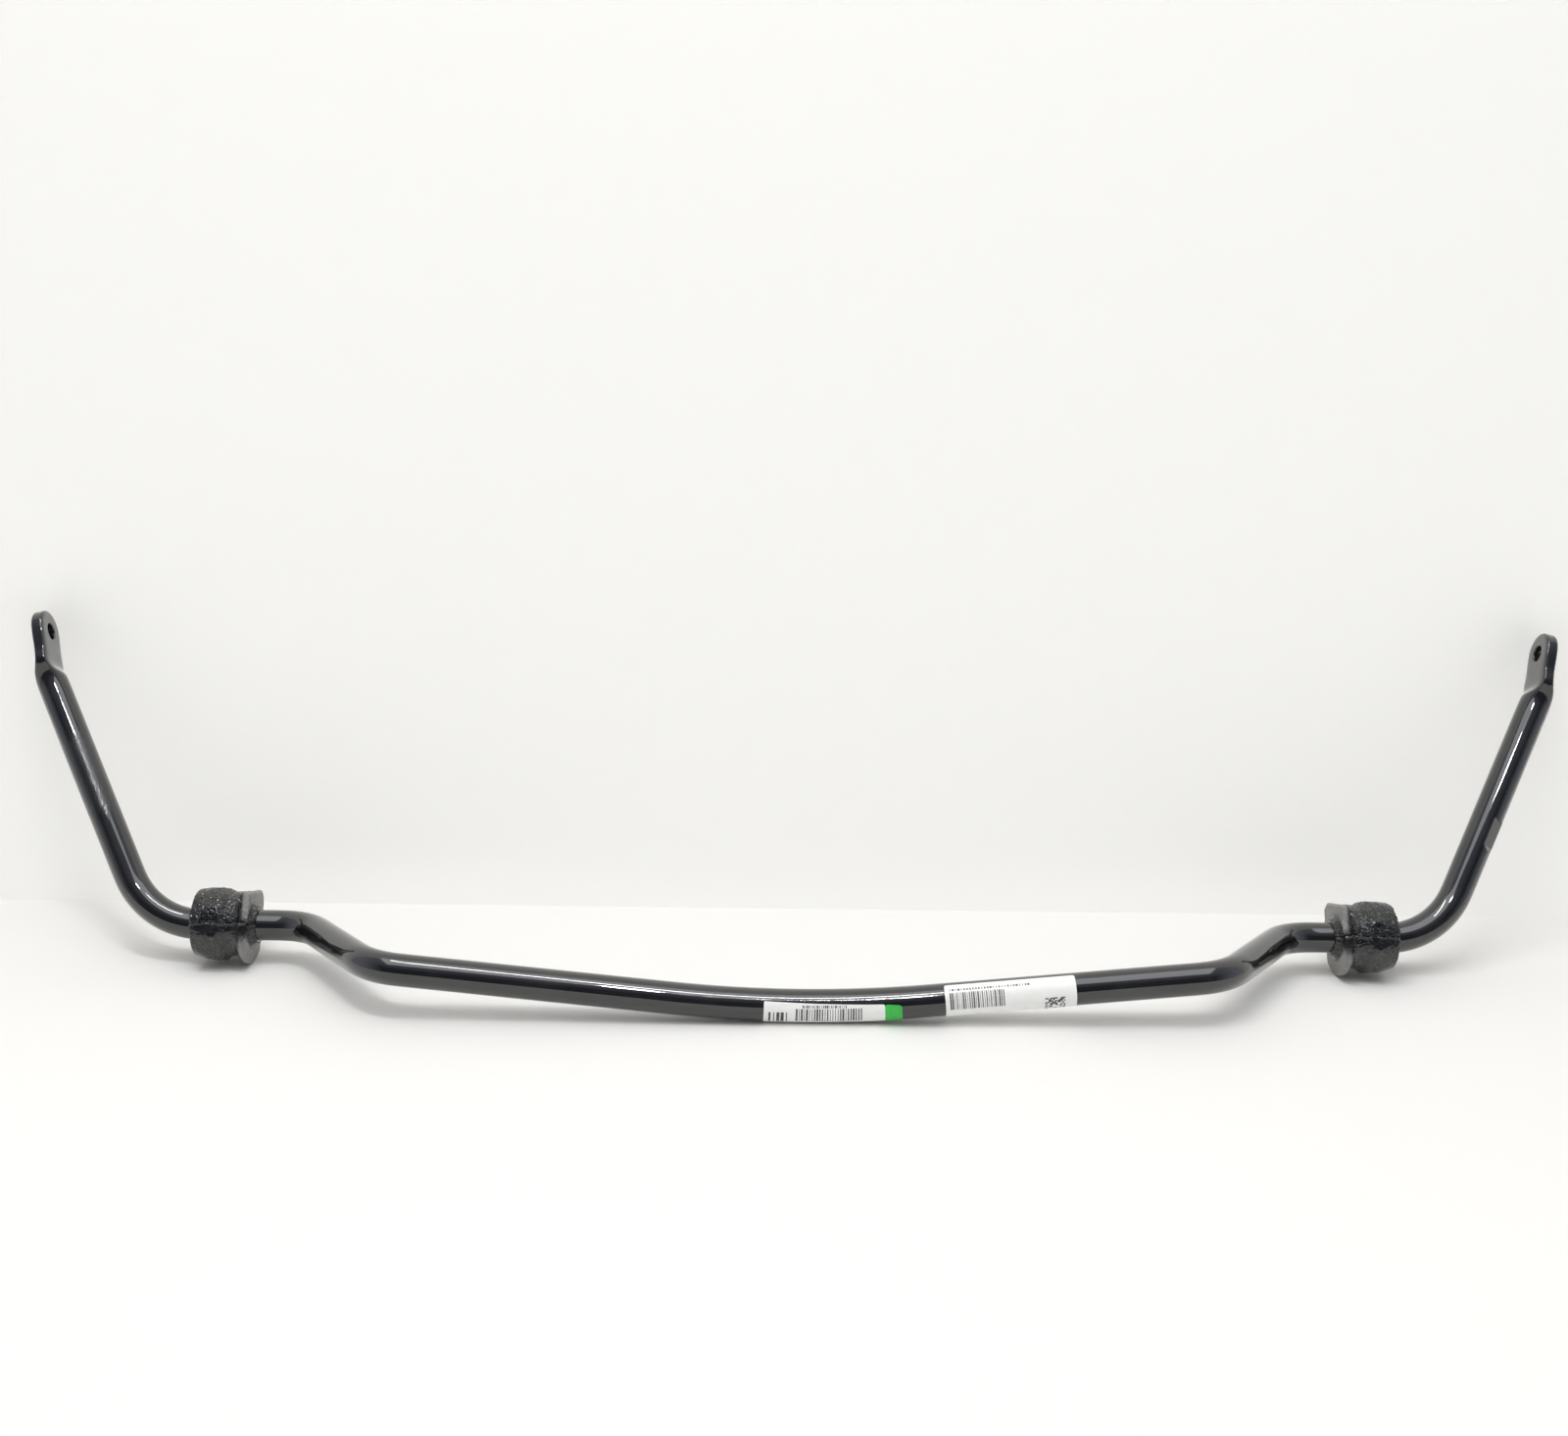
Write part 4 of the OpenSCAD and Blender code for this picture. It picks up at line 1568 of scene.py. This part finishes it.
@dataclass(frozen=True)
class Studio:
    """The bench, the wall, the lights and the camera."""

    wall_y: float = 0.124
    extent: float = 4.0
    fill: float = 0.42
    board: StudioBoard = StudioBoard("studio_bench", glow=0.0)
    wall: StudioBoard = StudioBoard("studio_wall", (0.84, 0.835, 0.815, 1), 0.27)
    lens: float = 36 * 1686 / 1600
    camera_at: tuple[float, float, float] = (-0.03912, -1.26425, 0.55548)
    yaw: float = math.radians(1.11)
    pitch: float = math.radians(15.22)
    roll: float = math.radians(1.10)
    lights: tuple[SoftLight, ...] = (
        SoftLight("key", (-0.335, -0.64, 2.64), (0, 0, 0), (1.3, 0.045), 15.0, (1, 0.99, 0.97)),
        SoftLight("sparkle", (0, -1.35, 2.0), (0, 0, 0), (0.12, 0.12), 8.0, shines_only=True),
        SoftLight("soft_top", (0, -0.5, 3.0), (0, -0.2, 0), (3.2, 3.2), 60.0),
    )

    def add_board(self, name: str, corners: Sequence[tuple[float, ...]], finish: StudioBoard) -> None:
        """Adds one flat board of the studio."""
        mesh = bpy.data.meshes.new(name)
        mesh.from_pydata(corners, [], [tuple(range(len(corners)))])
        mesh.materials.append(finish.material())
        link_mesh(name, mesh)

    def add_room(self) -> None:
        """Adds the room: pale to look at, soft to light by, and dark in reflections from the front."""
        world = bpy.data.worlds.new("room")
        bpy.context.scene.world = world
        world.use_nodes = True
        wiring = Wiring(world.node_tree)
        pale = wiring.add("ShaderNodeBackground", {"Color": (0.93, 0.93, 0.91, 1), "Strength": 1.0})
        fill = world.node_tree.nodes["Background"]
        fill.inputs["Color"].default_value = (0.97, 0.98, 1.0, 1)
        fill.inputs["Strength"].default_value = self.fill
        way = wiring.add("ShaderNodeTexCoord").outputs["Generated"]
        parts = wiring.add("ShaderNodeSeparateXYZ", {0: way}).outputs
        height = wiring.add("ShaderNodeMapRange", {0: parts[2], 1: 0.45, 2: 0.95, 3: 0.14, 4: 0.75})
        sides = wiring.add("ShaderNodeMapRange", {0: wiring.math("ABSOLUTE", parts[0]), 1: 0.55, 2: 0.9,
                                                  3: 0.0, 4: 0.6})
        glow = wiring.math("ADD", height.outputs[0], sides.outputs[0])
        shine = wiring.add("ShaderNodeBackground", {"Color": (0.80, 0.86, 1.0, 1), "Strength": glow})
        rays = wiring.add("ShaderNodeLightPath").outputs
        soft = {0: rays["Is Glossy Ray"], 1: fill.outputs[0], 2: shine.outputs[0]}
        lit = wiring.add("ShaderNodeMixShader", soft)
        seen = {0: rays["Is Camera Ray"], 1: lit.outputs[0], 2: pale.outputs[0]}
        mixed = wiring.add("ShaderNodeMixShader", seen)
        wiring.feed(world.node_tree.nodes["World Output"].inputs["Surface"], mixed.outputs[0])

    def add_camera(self) -> None:
        """Adds the camera, which looks down on the bar from the front."""
        lens = bpy.data.cameras.new("camera")
        lens.lens = self.lens
        ahead = Vector((
            math.sin(self.yaw) * math.cos(self.pitch), math.cos(self.yaw) * math.cos(self.pitch),
            -math.sin(self.pitch),
        ))
        right = Vector((math.cos(self.yaw), -math.sin(self.yaw), 0))
        up = right.cross(ahead)
        level = Matrix.Rotation(self.roll, 3, -ahead)
        turn = Matrix((level @ right, level @ up, -ahead)).transposed().to_4x4()
        camera = bpy.data.objects.new("camera", lens)
        camera.matrix_world = Matrix.Translation(self.camera_at) @ turn
        bpy.context.scene.collection.objects.link(camera)
        bpy.context.scene.camera = camera

    def build(self) -> None:
        """Builds the whole studio."""
        far, back = self.extent, self.wall_y
        bench = [(-far, -far, 0), (far, -far, 0), (far, far, 0), (-far, far, 0)]
        wall = [(-far, back, 0), (far, back, 0), (far, back, far), (-far, back, far)]
        self.add_board("bench", bench, self.board)
        self.add_board("wall", wall, self.wall)
        for light in self.lights:
            light.hang()
        self.add_room()
        self.add_camera()
        bpy.context.scene.view_settings.view_transform = "Standard"


# ---------------------------------------------------------------------------------------------
# The whole part


def hand_over(piece: bpy.types.Object, body: str, slot: str, *nodes: str) -> None:
    """Parents a finished piece to its body, hides the CAD nodes that it stands for and logs its size."""
    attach(piece, body)
    if nodes:
        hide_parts(*nodes)
    faces = sum(len(p.vertices) - 2 for p in piece.data.polygons)
    LOG.info("%s on %s: %d triangles", piece.name, body, faces)


def main() -> None:
    """Builds every piece in order."""
    logging.basicConfig(level=logging.INFO, format="%(name)s: %(message)s")
    low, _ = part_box("stabiliser_bar")
    line = BarLine(middle_y=low.y + BarLine.bar_r)
    hand_over(ForgedBar(line).build(), "bar", "bar_coating", "stabiliser_bar")
    beads = BeadTree()
    for side in Side:
        Bush(side).build(line, beads)
    stripe_tree, dot_tree = StripeTree(), DotTree()
    for label, bend in ((part_label(), line.middle_r), (colour_tab(), line.middle_r),
                        (shipping_label(), STRAIGHT_BEND)):
        hand_over(label.shell(line), "bar", label.slot, label.node)
        label.print_on(line, stripe_tree, dot_tree, bend)
    Studio().build()


if __name__ == "__main__":
    main()
